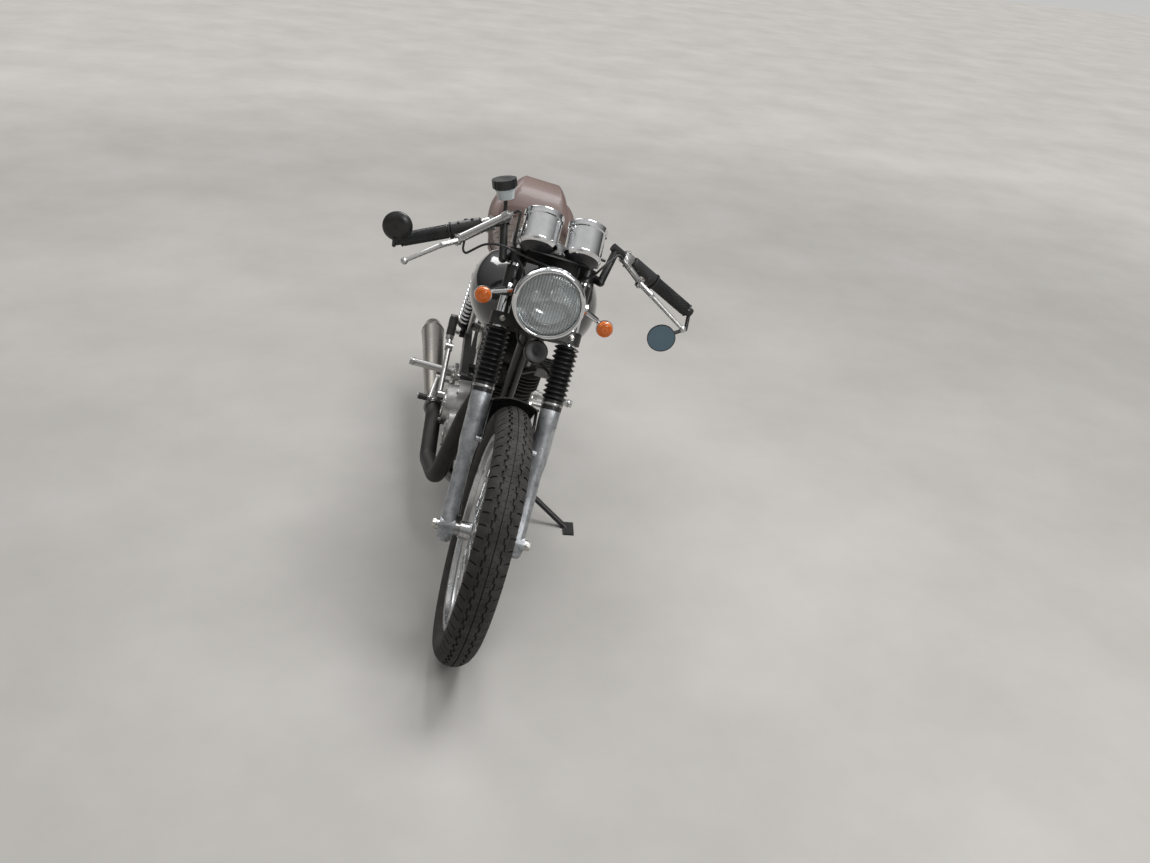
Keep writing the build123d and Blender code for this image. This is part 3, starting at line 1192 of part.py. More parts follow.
pieces["side_stand"] = stand - stand_plane * Cylinder(stand_pin_radius + pin_clearance, 60)
lug_root = stand_plane.to_local_coords(Vector(stand_pivot.X, cradle_y, stand_pivot.Z))
lug_plate = extrude(make_hull((Circle(16) + Pos(lug_root.X, lug_root.Y) * Circle(9)).edges()), amount=lug_thickness)
stand_lug = stand_plane * joined(
    Pos(0, 0, fork_slot / 2 + free_gap) * lug_plate,
    Pos(0, 0, -fork_slot / 2 - free_gap - lug_thickness) * lug_plate,
    Cylinder(stand_pin_radius, fork_slot + 2 * lug_thickness),
)
pieces["frame_cradle"] = joined(pieces["frame_cradle"], stand_lug)

# Lean the machine onto its stand, put the lowest point on the ground and centre it
leaned = {name: Pos(0, 0, lift) * Rot(-lean_angle, 0, 0) * shape for name, shape in pieces.items()}
boxes = [shape.bounding_box() for shape in leaned.values()]
low = Vector(min(box.min.X for box in boxes), min(box.min.Y for box in boxes), min(box.min.Z for box in boxes))
high = Vector(max(box.max.X for box in boxes), max(box.max.Y for box in boxes), max(box.max.Z for box in boxes))
shift = Pos(-(low.X + high.X) / 2, -(low.Y + high.Y) / 2, -low.Z)
for name, shape in leaned.items():
    export_step(shift * shape, f"parts/{name}.step")
print("box", low, high, "shift", shift.position)
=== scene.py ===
import math

import bmesh
import bpy
from mathutils import Matrix, Vector


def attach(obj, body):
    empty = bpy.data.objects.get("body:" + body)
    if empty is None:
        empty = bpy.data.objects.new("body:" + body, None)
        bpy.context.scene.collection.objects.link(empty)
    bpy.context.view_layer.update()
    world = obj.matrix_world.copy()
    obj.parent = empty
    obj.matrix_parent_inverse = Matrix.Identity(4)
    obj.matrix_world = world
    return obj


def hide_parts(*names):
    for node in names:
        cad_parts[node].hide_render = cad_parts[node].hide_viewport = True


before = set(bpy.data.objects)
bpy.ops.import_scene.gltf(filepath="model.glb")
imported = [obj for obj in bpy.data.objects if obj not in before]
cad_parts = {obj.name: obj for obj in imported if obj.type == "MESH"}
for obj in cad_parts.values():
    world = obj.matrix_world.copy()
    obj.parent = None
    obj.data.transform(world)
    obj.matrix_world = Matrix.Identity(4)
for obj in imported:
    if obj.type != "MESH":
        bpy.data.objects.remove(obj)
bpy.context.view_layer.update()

# Camera: stands ahead of the machine and looks down at it, with the slight roll of the
# hand-held photograph. Place and turn are in metres and degrees in the machine's frame.
camera_place = Vector((3.0905, -0.1141, 1.8286))
camera_heading = math.radians(174.912)
camera_dip = math.radians(26.347)
camera_roll = math.radians(6.414)
camera_focal_px = 1106.32
photo_width_px = 1150
sensor_mm = 36.0

look = Vector((
    math.cos(camera_heading) * math.cos(camera_dip),
    math.sin(camera_heading) * math.cos(camera_dip),
    -math.sin(camera_dip),
))
level_right = look.cross(Vector((0, 0, 1))).normalized()
level_up = level_right.cross(look)
camera_right = math.cos(camera_roll) * level_right + math.sin(camera_roll) * level_up
camera_up = math.cos(camera_roll) * level_up - math.sin(camera_roll) * level_right
turn = Matrix((camera_right, camera_up, -look)).transposed().to_4x4()
camera_data = bpy.data.cameras.new("photo_camera")
camera_data.sensor_width = sensor_mm
camera_data.lens = sensor_mm * camera_focal_px / photo_width_px
camera = bpy.data.objects.new("photo_camera", camera_data)
camera.matrix_world = Matrix.Translation(camera_place) @ turn
bpy.context.scene.collection.objects.link(camera)
bpy.context.scene.camera = camera
bpy.context.scene.view_settings.view_transform = "Standard"


# Floor: pale painted concrete in one wide sheet, mottled by old stains. It is no part of the
# machine. Away from the lamps it brightens evenly for the camera, so that no edge shows.
def wire(tree, node, inputs):
    """Sets each input of a node to a value, or links it to another node's output."""
    for socket, value in inputs.items():
        if isinstance(value, bpy.types.NodeSocket):
            tree.links.new(value, node.inputs[socket])
        else:
            node.inputs[socket].default_value = value


def shader_node(tree, kind, inputs=None, **settings):
    """New node of a kind, with its settings and its inputs."""
    node = tree.nodes.new("ShaderNode" + kind)
    for name, value in settings.items():
        setattr(node, name, value)
    wire(tree, node, inputs or {})
    return node


def new_finish(name):
    """Material with nodes, its node tree and its shader."""
    finish = bpy.data.materials.new(name)
    finish.use_nodes = True
    return finish, finish.node_tree, finish.node_tree.nodes["Principled BSDF"]


def two_tone(tree, share, first, last, start=0.0, stop=1.0):
    """Colour that runs from the first to the last as a share goes from start to stop."""
    ramp = shader_node(tree, "ValToRGB", {"Fac": share})
    for number, (place, colour) in enumerate(((start, first), (stop, last))):
        ramp.color_ramp.elements[number].position = place
        ramp.color_ramp.elements[number].color = (*colour, 1)
    return ramp.outputs["Color"]


bpy.ops.object.select_all(action="DESELECT")
bpy.ops.mesh.primitive_plane_add(size=60, location=(0, 0, 0))
floor = bpy.context.object
floor.name = "floor"
floor_paint, floor_tree, floor_shader = new_finish("floor_paint")
floor_place = shader_node(floor_tree, "TexCoord").outputs["Object"]
floor_stains = shader_node(floor_tree, "TexNoise", {
    "Vector": floor_place, "Scale": 1.4, "Detail": 10, "Roughness": 0.62}).outputs["Fac"]
floor_colour = two_tone(floor_tree, floor_stains, (0.39, 0.376, 0.355), (0.45, 0.435, 0.415), 0.35, 0.68)
floor_reach = shader_node(floor_tree, "VectorMath", {0: floor_place}, operation="LENGTH").outputs["Value"]
floor_glow = shader_node(floor_tree, "MapRange", {
    "Value": floor_reach, "From Min": 1.5, "From Max": 7.0, "To Min": 0.0, "To Max": 0.85}).outputs["Result"]
seen = shader_node(floor_tree, "LightPath").outputs
seen_or_mirrored = shader_node(floor_tree, "Math", {
    0: seen["Is Camera Ray"], 1: seen["Is Glossy Ray"]}, operation="MAXIMUM").outputs["Value"]
glow_seen = shader_node(floor_tree, "Math", {0: floor_glow, 1: seen_or_mirrored}, operation="MULTIPLY")
wire(floor_tree, floor_shader, {
    "Roughness": 0.7, "Base Color": floor_colour, "Emission Color": floor_colour,
    "Emission Strength": glow_seen.outputs["Value"]})
floor.data.materials.append(floor_paint)


# Lamps: two soft boxes overhead and one low fill from the front. The sky is bright overhead and
# dark at the horizon as a light, and pale and even for the camera.
def softbox(name, place, aim, width, power):
    lamp_data = bpy.data.lights.new(name, "AREA")
    lamp_data.energy = power
    lamp_data.size = width
    lamp = bpy.data.objects.new(name, lamp_data)
    lamp.location = place
    lamp.rotation_euler = (Vector(aim) - Vector(place)).to_track_quat("-Z", "Y").to_euler()
    bpy.context.scene.collection.objects.link(lamp)


softbox("key_light", (0.1, 0.9, 3.6), (0.1, 0, 0.5), 1.5, 95)
softbox("back_light", (-2.2, -1.4, 3.2), (0, 0, 0.6), 1.6, 42)
softbox("front_fill", (2.7, 1.5, 2.5), (0.4, 0, 0.7), 0.9, 26)
sky = bpy.data.worlds.new("pale_sky")
sky.use_nodes = True
sky_tree = sky.node_tree
sky_way = shader_node(sky_tree, "TexCoord").outputs["Generated"]
sky_height = shader_node(sky_tree, "SeparateXYZ", {"Vector": sky_way}).outputs["Z"]
sky_light = shader_node(sky_tree, "MapRange", {
    "Value": sky_height, "From Min": 0.05, "From Max": 0.80, "To Min": 0.07, "To Max": 0.72})
sky_seen = shader_node(sky_tree, "LightPath").outputs["Is Camera Ray"]
sky_strength = shader_node(sky_tree, "Mix", {
    "Factor": sky_seen, "A": sky_light.outputs["Result"], "B": 0.68}).outputs["Result"]
wire(sky_tree, sky_tree.nodes["Background"], {"Color": (0.82, 0.815, 0.81, 1), "Strength": sky_strength})
bpy.context.scene.world = sky


# Frame: steel tubes under black enamel that has dulled, with dust on it and small chips.
# The steering head, spine, cradle, seat rails and swingarm are welded before they are painted.
def weathered(name, clean, worn, roughness, metallic=0.0, scale=9.0, bump=0.06, coat=0.0):
    """Finish whose colour and gloss wander between a clean and a worn state."""
    finish, tree, shader = new_finish(name)
    place = shader_node(tree, "TexCoord").outputs["Object"]
    patches = shader_node(tree, "TexNoise", {
        "Vector": place, "Scale": scale, "Detail": 9, "Roughness": 0.68}).outputs["Fac"]
    grain = shader_node(tree, "TexNoise", {"Vector": place, "Scale": scale * 30, "Detail": 4}).outputs["Fac"]
    gloss = shader_node(tree, "MapRange", {
        "Value": patches, "From Min": 0.3, "From Max": 0.7, "To Min": roughness[0], "To Max": roughness[1]})
    relief = shader_node(tree, "Bump", {"Strength": bump, "Distance": 0.001, "Height": grain})
    wire(tree, shader, {
        "Metallic": metallic, "Coat Weight": coat, "Roughness": gloss.outputs["Result"],
        "Base Color": two_tone(tree, patches, clean, worn, 0.38, 0.72), "Normal": relief.outputs["Normal"]})
    return finish


def dress(finish, *names, edge_mm=0.0, crease=32):
    """Gives a finish to CAD pieces, joins their loose triangles and softens their edges."""
    for name in names:
        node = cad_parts[name]
        node.data.materials.clear()
        node.data.materials.append(finish)
        for face in node.data.polygons:
            face.use_smooth = True
        weld = node.modifiers.new("weld", "WELD")
        weld.merge_threshold = 0.00002
        if edge_mm:
            soften = node.modifiers.new("soften", "BEVEL")
            soften.width = edge_mm / 1000
            soften.segments = 2
            soften.limit_method = "ANGLE"
            soften.angle_limit = math.radians(40)
            soften.use_clamp_overlap = True
        split = node.modifiers.new("split", "EDGE_SPLIT")
        split.split_angle = math.radians(crease)


frame_enamel = weathered("frame_enamel", (0.007, 0.007, 0.008), (0.026, 0.025, 0.023), (0.22, 0.46), scale=14)
dress(frame_enamel, "frame_spine", "frame_cradle", "frame_rails", "swingarm", "rear_mudguard", "side_stand")
bright_zinc = weathered("bright_zinc", (0.62, 0.61, 0.58), (0.36, 0.34, 0.30), (0.22, 0.42), 0.95, 60, 0.05)

# Every piece below is placed by millimetres on the upright machine, which then leans 12 degrees
lean = Matrix.Translation((-0.0025, -0.178191, 0.0010926)) @ Matrix.Rotation(math.radians(-12), 4, "X")


def at(x, y, z, axis=(0, 0, 1), roll=0.0):
    """Place on the machine whose own Z runs along the axis, from millimetres on the upright machine."""
    facing = Vector(axis).to_track_quat("Z", "Y").to_matrix().to_4x4()
    spot = Matrix.Translation(Vector((x, y, z)) / 1000)
    return lean @ spot @ facing @ Matrix.Rotation(roll, 4, "Z")


def fresh():
    """Leaves edit mode with nothing selected, ready for a new primitive."""
    if bpy.context.mode != "OBJECT":
        bpy.ops.object.mode_set(mode="OBJECT")
    bpy.ops.object.select_all(action="DESELECT")


def pick(piece, wanted):
    """Selects the faces whose centre and normal are wanted, ready for an edit-mode operator."""
    bpy.ops.object.mode_set(mode="EDIT")
    bpy.ops.mesh.select_mode(type="FACE")
    bpy.ops.mesh.select_all(action="DESELECT")
    mesh = bmesh.from_edit_mesh(piece.data)
    for face in mesh.faces:
        face.select_set(bool(wanted(face.calc_center_median(), face.normal)))
    bmesh.update_edit_mesh(piece.data)


def only(*pieces):
    """Leaves edit mode with these pieces selected, the first of them active."""
    fresh()
    for piece in pieces:
        piece.select_set(True)
    bpy.context.view_layer.objects.active = pieces[0]


def joined(pieces):
    """Joins pieces into the first."""
    only(*pieces)
    bpy.ops.object.join()
    return pieces[0]


def repeated(first, places):
    """Copies a modelled piece to each place and joins the copies."""
    fresh()
    copies = []
    for place in places:
        another = first.copy()
        another.data = first.data.copy()
        another.matrix_basis = place @ first.matrix_basis
        bpy.context.scene.collection.objects.link(another)
        copies.append(another)
    bpy.data.objects.remove(first)
    return joined(copies)


def put(piece, place, name, body, *finishes, crease=35):
    """Sets a finished piece at its place, or copies of it at a list of places, on their body."""
    if isinstance(place, list):
        piece, place = repeated(piece, place), Matrix()
    only(piece)
    piece.matrix_basis = place @ piece.matrix_basis
    bpy.ops.object.transform_apply(location=True, rotation=True, scale=True)
    bpy.ops.object.shade_smooth_by_angle(angle=math.radians(crease))
    piece.name = piece.data.name = name
    piece.data.materials.clear()
    for finish in finishes:
        piece.data.materials.append(finish)
    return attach(piece, body)


def primitive(operator, **settings):
    """New mesh from one of Blender's own primitives, alone in the selection."""
    fresh()
    operator(**settings)
    return bpy.context.object


def stepped(sides, radius, height, *steps, foot=0.0):
    """Cylinder that stands on Z = foot, in metres, with its top inset in steps of (inward, upward)."""
    piece = primitive(bpy.ops.mesh.primitive_cylinder_add, vertices=sides, radius=radius, depth=height,
                      location=(0, 0, foot + height / 2))
    pick(piece, lambda centre, normal: normal.z > 0.9)
    for inward, upward in steps:
        bpy.ops.mesh.inset(thickness=inward, depth=upward)
    bpy.ops.object.mode_set(mode="OBJECT")
    return piece


def hex_head(across, height):
    """Hexagon head with a chamfered top on a round washer, in millimetres, standing on Z = 0."""
    head = stepped(6, across / 1732, height / 1000, (across / 9000, across / 14000), (across / 5000, 0),
                   (across / 16000, -across / 14000), foot=0.001)
    return joined([head, stepped(20, across / 1600, 0.0012)])


put(hex_head(15, 7), [
    at(x, sign * (y + 2.5), z, (0, sign, 0), x / 40)
    for x, y, z in ((-100, 89, 160), (-40, 89, 160), (-455, 133, 632), (-625, 131, 322)) for sign in (1, -1)],
    "frame_bolts", "chassis", bright_zinc)
put(hex_head(22, 8), [at(-188, sign * 119, 345, (0, sign, 0)) for sign in (1, -1)],
    "pivot_nuts", "chassis", bright_zinc)

# Wheels: polished alloy rims laced with steel spokes, whose zinc-plated nipples sit in the rim's
# bed. The rims have dulled a little, and the hubs are cast and then polished.
rim_alloy = weathered("rim_alloy", (0.62, 0.63, 0.64), (0.40, 0.40, 0.39), (0.18, 0.36), 1.0, 7, 0.03)
disc_steel = weathered("disc_steel", (0.50, 0.50, 0.49), (0.30, 0.29, 0.28), (0.22, 0.38), 1.0, 20, 0.05)
dress(rim_alloy, "front_wheel_rim", "rear_wheel_rim")
dress(disc_steel, "front_brake_disc", "front_axle", "rear_axle")
dress(bright_zinc, "rear_brake_plate")
spoke_count, spoke_cross = 36, math.radians(52)
nipple_ring_inset, nipple_offset, nipple_reach = 26, 5, 6


def nipples(name, wheel_x, axle_z, flange_radius, hub_radius, hub_half_width, body):
    """One nipple at the rim end of every spoke, on the spoke's own line."""
    nipple = primitive(
        bpy.ops.mesh.primitive_cone_add, vertices=8, radius1=0.0031, radius2=0.0026, depth=0.013)
    pick(nipple, lambda centre, normal: normal.z > 0.9)
    bpy.ops.mesh.inset(thickness=0.0006, depth=0.0008)
    rim_radius = flange_radius - nipple_ring_inset
    places = []
    for index in range(spoke_count):
        across = 1 if index % 2 == 0 else -1
        rim_turn = 2 * math.pi * index / spoke_count
        hub_turn = rim_turn + (spoke_cross if index % 4 < 2 else -spoke_cross)
        rim_end, hub_end = [
            Vector((radius * math.cos(turned), across * offset, -radius * math.sin(turned)))
            for radius, offset, turned in (
                (rim_radius, nipple_offset, rim_turn), (hub_radius, hub_half_width, hub_turn))]
        run = (hub_end - rim_end).normalized()
        places.append(at(*(Vector((wheel_x, 0, axle_z)) + rim_end + run * nipple_reach), run))
    put(nipple, places, name, body, bright_zinc)


nipples("front_nipples", 700, 335, 256, 62, 31, "front_wheel")
nipples("rear_nipples", -700, 330, 243.5, 87, 33, "rear_wheel")

# Tyres: moulded rubber. The crown carries a thin middle groove, two stepped grooves, slanting
# sipes and open shoulder slots, all in one pitch that repeats round the tyre; the walls are plain.
dusty_tread = weathered(
    "dusty_tread", (0.026, 0.0255, 0.0245), (0.066, 0.063, 0.058), (0.66, 0.86), 0.0, 22, 0.35)
wall_rubber_and_hole_shade = weathered(
    "wall_rubber_and_hole_shade", (0.009, 0.009, 0.009), (0.026, 0.025, 0.024), (0.50, 0.72), 0.0, 10, 0.20)
for rubber in (dusty_tread, wall_rubber_and_hole_shade):
    rubber.node_tree.nodes["Principled BSDF"].inputs["Specular IOR Level"].default_value = 0.22
crown_radius = 50.0
# Half of the crown's outline in millimetres along it, and one pitch's columns in like units
tread_stations = (1.3, 5.0, 9.0, 12.2, 13.8, 19.0, 24.2, 26.0, 29.2, 32.6, 36.0, 40.0, 43.6)
pitch_widths = (3.4, 3.0, 1.2, 3.6, 2.4, 2.0, 3.4, 3.0, 1.2, 3.6, 2.3, 2.0)
bead_half_width, bead_step, bead_rise, shoulder_drop = 26.9, 12.95, 14.5, 44
tread_skew, skew_reach = 0.22, 40
groove_depths = (("deep", 0.0045), ("fine", 0.0020))


def wall_arc(start, middle, end, steps):
    """Points after the first on the arc through three points, each (radius, across)."""
    (ax, ay), (bx, by), (cx, cy) = start, middle, end
    double = 2 * (ax * (by - cy) + bx * (cy - ay) + cx * (ay - by))
    ux = ((ax**2 + ay**2) * (by - cy) + (bx**2 + by**2) * (cy - ay) + (cx**2 + cy**2) * (ay - by)) / double
    uy = ((ax**2 + ay**2) * (cx - bx) + (bx**2 + by**2) * (ax - cx) + (cx**2 + cy**2) * (bx - ax)) / double
    radius = math.hypot(ax - ux, ay - uy)
    first = math.atan2(ay - uy, ax - ux)
    last = math.atan2(cy - uy, cx - ux)
    if last > first:
        last -= 2 * math.pi
    return [(ux + radius * math.cos(first + (last - first) * step / steps),
             uy + radius * math.sin(first + (last - first) * step / steps)) for step in range(1, steps + 1)]


def moulded_tyre(name, wheel_x, radius, half_width, flange_radius, pitches, body, node):
    """Tyre whose tread is cut into one flat pitch, wrapped round the crown and repeated."""
    bead = flange_radius - bead_step
    half = [(radius - crown_radius * (1 - math.cos(s / crown_radius)),
             crown_radius * math.sin(s / crown_radius)) for s in tread_stations]
    foot = (bead + bead_rise, bead_half_width)
    wall = [foot] + wall_arc(foot, (radius - shoulder_drop, half_width), half[-1], 9)[:-1]
    wall[2] = (wall[2][0], wall[2][1] + 0.9)
    wall[7] = (wall[7][0] + 0.4, wall[7][1] + 0.7)
    left = half + wall[::-1] + [(bead, bead_half_width)]
    profile = [(r, -a) for r, a in reversed(left)] + left + [(bead, -bead_half_width)]
    columns, rows = len(pitch_widths), len(profile) - 1
    along = [sum(pitch_widths[:column]) / sum(pitch_widths) for column in range(columns + 1)]
    middle_row, tread_rows = len(left) - 1, len(tread_stations)

    block = primitive(bpy.ops.mesh.primitive_grid_add, x_subdivisions=columns, y_subdivisions=rows, size=2)

    def sunk(centre, depth):
        """Whether a face of the flat pitch lies in a groove or slot, or in a fine sipe."""
        column = int((centre.x + 1) / 2 * columns)
        row = int((centre.y + 1) / 2 * rows)
        station = abs(row - middle_row)
        if centre.z < -0.01 or station > tread_rows + 1:
            return False
        shifted = column if row > middle_row else (column + columns // 2) % columns
        if depth == "deep":
            zigzag = (station == 5 and (shifted < 6 or shifted == 11)) or (station == 6 and shifted > 4)
            slot = station > 9 and shifted in (4, 5)
            return station == 0 or zigzag or slot
        return (station in (2, 3) and shifted == 2) or (station in (1, 2, 8, 9) and shifted == 8)

    for depth, drop in groove_depths:
        pick(block, lambda centre, normal: normal.z > 0.5 and sunk(centre, depth))
        bpy.ops.mesh.extrude_region_move(TRANSFORM_OT_translate={"value": (0, 0, -drop)})
    pick(block, lambda centre, normal: abs(normal.z) < 0.5 and abs(abs(centre.x) - 1) < 0.001)
    bpy.ops.mesh.delete(type="FACE")
    bpy.ops.object.mode_set(mode="OBJECT")

    normals = []
    for row in range(rows + 1):
        before, after = profile[max(row - 1, 0)], profile[min(row + 1, rows)]
        across_run, radius_run = after[1] - before[1], after[0] - before[0]
        size = math.hypot(across_run, radius_run) or 1
        normals.append((across_run / size, -radius_run / size))
    for face in block.data.polygons:
        row = int((face.center.y + 1) / 2 * rows)
        face.material_index = 0 if abs(row - middle_row) < tread_rows and abs(face.normal.z) > 0.5 and (
            face.center.z > -0.001) else 1
    for point in block.data.vertices:
        row = round((point.co.y + 1) / 2 * rows)
        column = round((point.co.x + 1) / 2 * columns)
        (place_r, place_a), (normal_r, normal_a) = profile[row], normals[row]
        depth = point.co.z * 1000
        angle = 2 * math.pi / pitches * along[column] + tread_skew * min(abs(place_a), skew_reach) / radius
        r, a = place_r + normal_r * depth, place_a + normal_a * depth
        point.co = Vector((r * math.sin(angle), a, r * math.cos(angle))) / 1000
    tyre = repeated(block, [
        Matrix.Rotation(2 * math.pi * index / pitches, 4, "Y") for index in range(pitches)])
    bpy.ops.object.mode_set(mode="EDIT")
    bpy.ops.mesh.select_all(action="SELECT")
    bpy.ops.mesh.remove_doubles(threshold=0.00005)
    bpy.ops.mesh.normals_make_consistent(inside=False)
    put(tyre, at(wheel_x, 0, radius), name, body, dusty_tread, wall_rubber_and_hole_shade, crease=38)
    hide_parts(node)


moulded_tyre("front_tyre_moulded", 700, 335, 46.5, 256, 68, "front_wheel", "front_tyre")
moulded_tyre("rear_tyre_moulded", -700, 330, 54, 243.5, 66, "rear_wheel", "rear_tyre")
dress(wall_rubber_and_hole_shade, "front_tyre", "rear_tyre")

# Drive chain and sprockets: oiled steel side plates, as the solids give them. A riveted pin
# stands at every pitch on both faces.
chain_steel = weathered("chain_steel", (0.16, 0.145, 0.12), (0.055, 0.05, 0.045), (0.35, 0.60), 0.85, 70, 0.2)
dress(chain_steel, "drive_chain")
dress(disc_steel, "rear_sprocket")
chain_pitch, front_teeth, rear_teeth = 15.875, 16, 42
front_sprocket, rear_sprocket = Vector((-100, 72, 335)), Vector((-700, 72, 330))
chain_back = (rear_sprocket - front_sprocket).length
back_run = (rear_sprocket - front_sprocket).normalized()
up_run = Vector((back_run.z, 0, -back_run.x))
front_pitch_radius = chain_pitch / 2 / math.sin(math.pi / front_teeth)
rear_pitch_radius = chain_pitch / 2 / math.sin(math.pi / rear_teeth)
splay = math.acos((rear_pitch_radius - front_pitch_radius) / chain_back)
run_length = math.sqrt(chain_back**2 - (rear_pitch_radius - front_pitch_radius) ** 2)
small_arc, large_arc = 2 * splay * front_pitch_radius, 2 * (math.pi - splay) * rear_pitch_radius
loop_length = 2 * run_length + small_arc + large_arc
link_count = round(loop_length / chain_pitch)


def on_chain(distance):
    """Place on the chain's pitch line, back and up from the front sprocket's centre."""
    rear, lower = Vector((chain_back, 0)), Vector((math.cos(splay - math.pi), math.sin(splay - math.pi)))
    upper = Vector((lower.x, -lower.y))
    if distance < small_arc:
        turn_at = math.pi - splay + distance / front_pitch_radius
        return Vector((math.cos(turn_at), math.sin(turn_at))) * front_pitch_radius
    distance -= small_arc
    if distance < run_length:
        return (lower * front_pitch_radius).lerp(rear + lower * rear_pitch_radius, distance / run_length)
    distance -= run_length
    if distance < large_arc:
        turn_at = splay - math.pi + distance / rear_pitch_radius
        return rear + Vector((math.cos(turn_at), math.sin(turn_at))) * rear_pitch_radius
    distance -= large_arc
    return (rear + upper * rear_pitch_radius).lerp(upper * front_pitch_radius, distance / run_length)


pin = stepped(8, 0.0027, 0.0196, foot=-0.0098)
pick(pin, lambda centre, normal: abs(normal.z) > 0.9)
bpy.ops.mesh.bevel(offset=0.0005, segments=1)
pin_spots = [on_chain(loop_length * link / link_count) for link in range(link_count)]
put(pin, [at(*(front_sprocket + back_run * spot.x + up_run * spot.y), (0, 1, 0)) for spot in pin_spots],
    "chain_pins", "chassis", disc_steel)

# Engine: cast aluminium cases under polished covers, held by pan-head screws round their rims.
# The cylinder and head are finned castings in a near-black finish.
cast_alloy = weathered("cast_alloy", (0.36, 0.36, 0.355), (0.16, 0.155, 0.15), (0.38, 0.62), 0.85, 16, 0.25)
cover_alloy = weathered("cover_alloy", (0.55, 0.55, 0.54), (0.30, 0.29, 0.28), (0.20, 0.42), 0.95, 8, 0.06)
fin_near_black = weathered(
    "fin_near_black", (0.020, 0.020, 0.020), (0.060, 0.057, 0.053), (0.38, 0.62), 0.1, 22, 0.15)
dress(cast_alloy, "crankcase", "carburettor", "regulator")
dress(cover_alloy, "engine_covers")
dress(fin_near_black, "engine_cylinder", "engine_head")


def pan_screw(radius):
    """Pan-head screw with a round recess, in millimetres, standing on Z = 0."""
    return stepped(16, radius / 1000, radius / 1250, (radius / 6000, radius / 5000), (radius / 2600, 0),
                   (radius / 9000, -radius / 2600))


# Rows of screws: centre x and z, ring radius, face y, how many, first turn and step in radians
screw_rows = (
    (85, 292, 77, -100.0, 6, -1.9, 0.45), (-45, 308, 81, -112.0, 8, 0.2, 0.785),
    (-45, 308, 56, -142.0, 3, 0.5, 2.094), (85, 292, 49, -124.0, 3, 1.2, 2.094),
    (85, 292, 79, 96.0, 8, 0.2, 0.785), (85, 292, 62, 116.0, 4, 0.8, 1.571),
)
put(pan_screw(5.0), [
    at(x + ring * math.cos(first + number * step), y, z + ring * math.sin(first + number * step),
       (0, math.copysign(1, y), 0), number)
    for x, z, ring, y, count, first, step in screw_rows for number in range(count)],
    "cover_screws", "chassis", bright_zinc)
for centre_x, centre_z, face_y, cap_radius in ((-45, 308, -142, 40), (85, 292, -124, 30), (85, 292, 121, 22)):
    cap = stepped(48, cap_radius / 1000, 0.003, (0.0015, 0.0015), (0.0040, 0), (0.0015, -0.0020),
                  (cap_radius / 2600, 0.0005), (0.0015, 0.0020))
    put(cap, at(centre_x, face_y, centre_z, (0, math.copysign(1, face_y), 0)),
        f"cover_cap_{cap_radius}", "chassis", cover_alloy)

# Head: a finned casting. Four domed nuts hold the rocker box, a round inspection cap closes each
# of its ends, and a rubber cap covers the plug.
barrel_lean = math.radians(12)
barrel_up = Vector((math.sin(barrel_lean), 0, math.cos(barrel_lean)))
barrel_ahead = Vector((math.cos(barrel_lean), 0, -math.sin(barrel_lean)))
barrel_foot, head_foot = Vector((75, 0, 415)), 118


def on_barrel(ahead, left, up):
    """Place on the leaning barrel, from millimetres off the centre of its foot."""
    return barrel_foot + barrel_ahead * ahead + Vector((0, left, 0)) + barrel_up * up


put(hex_head(17, 10), [
    at(*on_barrel(ahead, left, head_foot + 108), barrel_up, ahead)
    for ahead in (-42, 42) for left in (-46, 46)],
    "head_nuts", "chassis", bright_zinc)
put(hex_head(26, 7), [
    at(*on_barrel(ahead, left, head_foot + 92), (0, left, 0)) for ahead in (-58, 58) for left in (-40, 40)],
    "inspection_caps", "chassis", cover_alloy)
plug_cap = stepped(24, 0.0085, 0.050, (0.0015, 0.003))
bpy.ops.object.mode_set(mode="EDIT")
bpy.ops.mesh.extrude_region_move(TRANSFORM_OT_translate={"value": (0, 0.004, 0.012)})
bpy.ops.transform.resize(value=(0.8, 0.8, 0.8))
pick(plug_cap, lambda centre, normal: normal.z < -0.9)
bpy.ops.mesh.inset(thickness=0.0015, depth=0.002)
put(plug_cap, at(*on_barrel(28, 84, head_foot + 40), (0.35, 0.8, 0.45)), "plug_cap", "chassis", fin_near_black)

# Carburettor: a die-cast body with a knurled top ring. A steel clip holds the hose at each end
# of it.
clip_steel = weathered("clip_steel", (0.55, 0.55, 0.55), (0.33, 0.32, 0.31), (0.2, 0.35), 1.0, 40, 0.05)


def applied(piece, kind, **settings):
    """Gives a piece a modifier with its settings and applies it."""
    only(piece)
    modifier = piece.modifiers.new(kind, kind)
    for name, value in settings.items():
        setattr(modifier, name, value)
    bpy.ops.object.modifier_apply(modifier=kind)
    return piece


def open_tube(sides, radius, length, foot=0.0):
    """Cylinder without ends that stands on Z = foot, in metres."""
    return primitive(bpy.ops.mesh.primitive_cylinder_add, vertices=sides, radius=radius, depth=length,
                     end_fill_type="NOTHING", location=(0, 0, foot + length / 2))


def bearing(centre):
    """Turn of a face's centre round Z, in degrees."""
    return math.degrees(math.atan2(centre.y, centre.x))


def swell(amount):
    """Raises the picked faces along their normals, with walls behind them."""
    bpy.ops.mesh.extrude_region_shrink_fatten(TRANSFORM_OT_shrink_fatten={"value": amount})


def band_clip(radius, width):
    """Steel band with rolled edges and its screw block, in millimetres, standing on Z = 0."""
    band = applied(open_tube(48, radius / 1000, width / 1000), "SOLIDIFY", thickness=0.0012, offset=1)
    applied(band, "BEVEL", width=0.0004, segments=2)
    block = primitive(bpy.ops.mesh.primitive_cube_add, size=1, scale=(0.007, 0.011, width / 1000),
                      location=((radius + 4) / 1000, 0, width / 2000))
    bpy.ops.object.transform_apply(location=True, rotation=True, scale=True)
    return joined([band, applied(block, "BEVEL", width=0.0012, segments=2)])


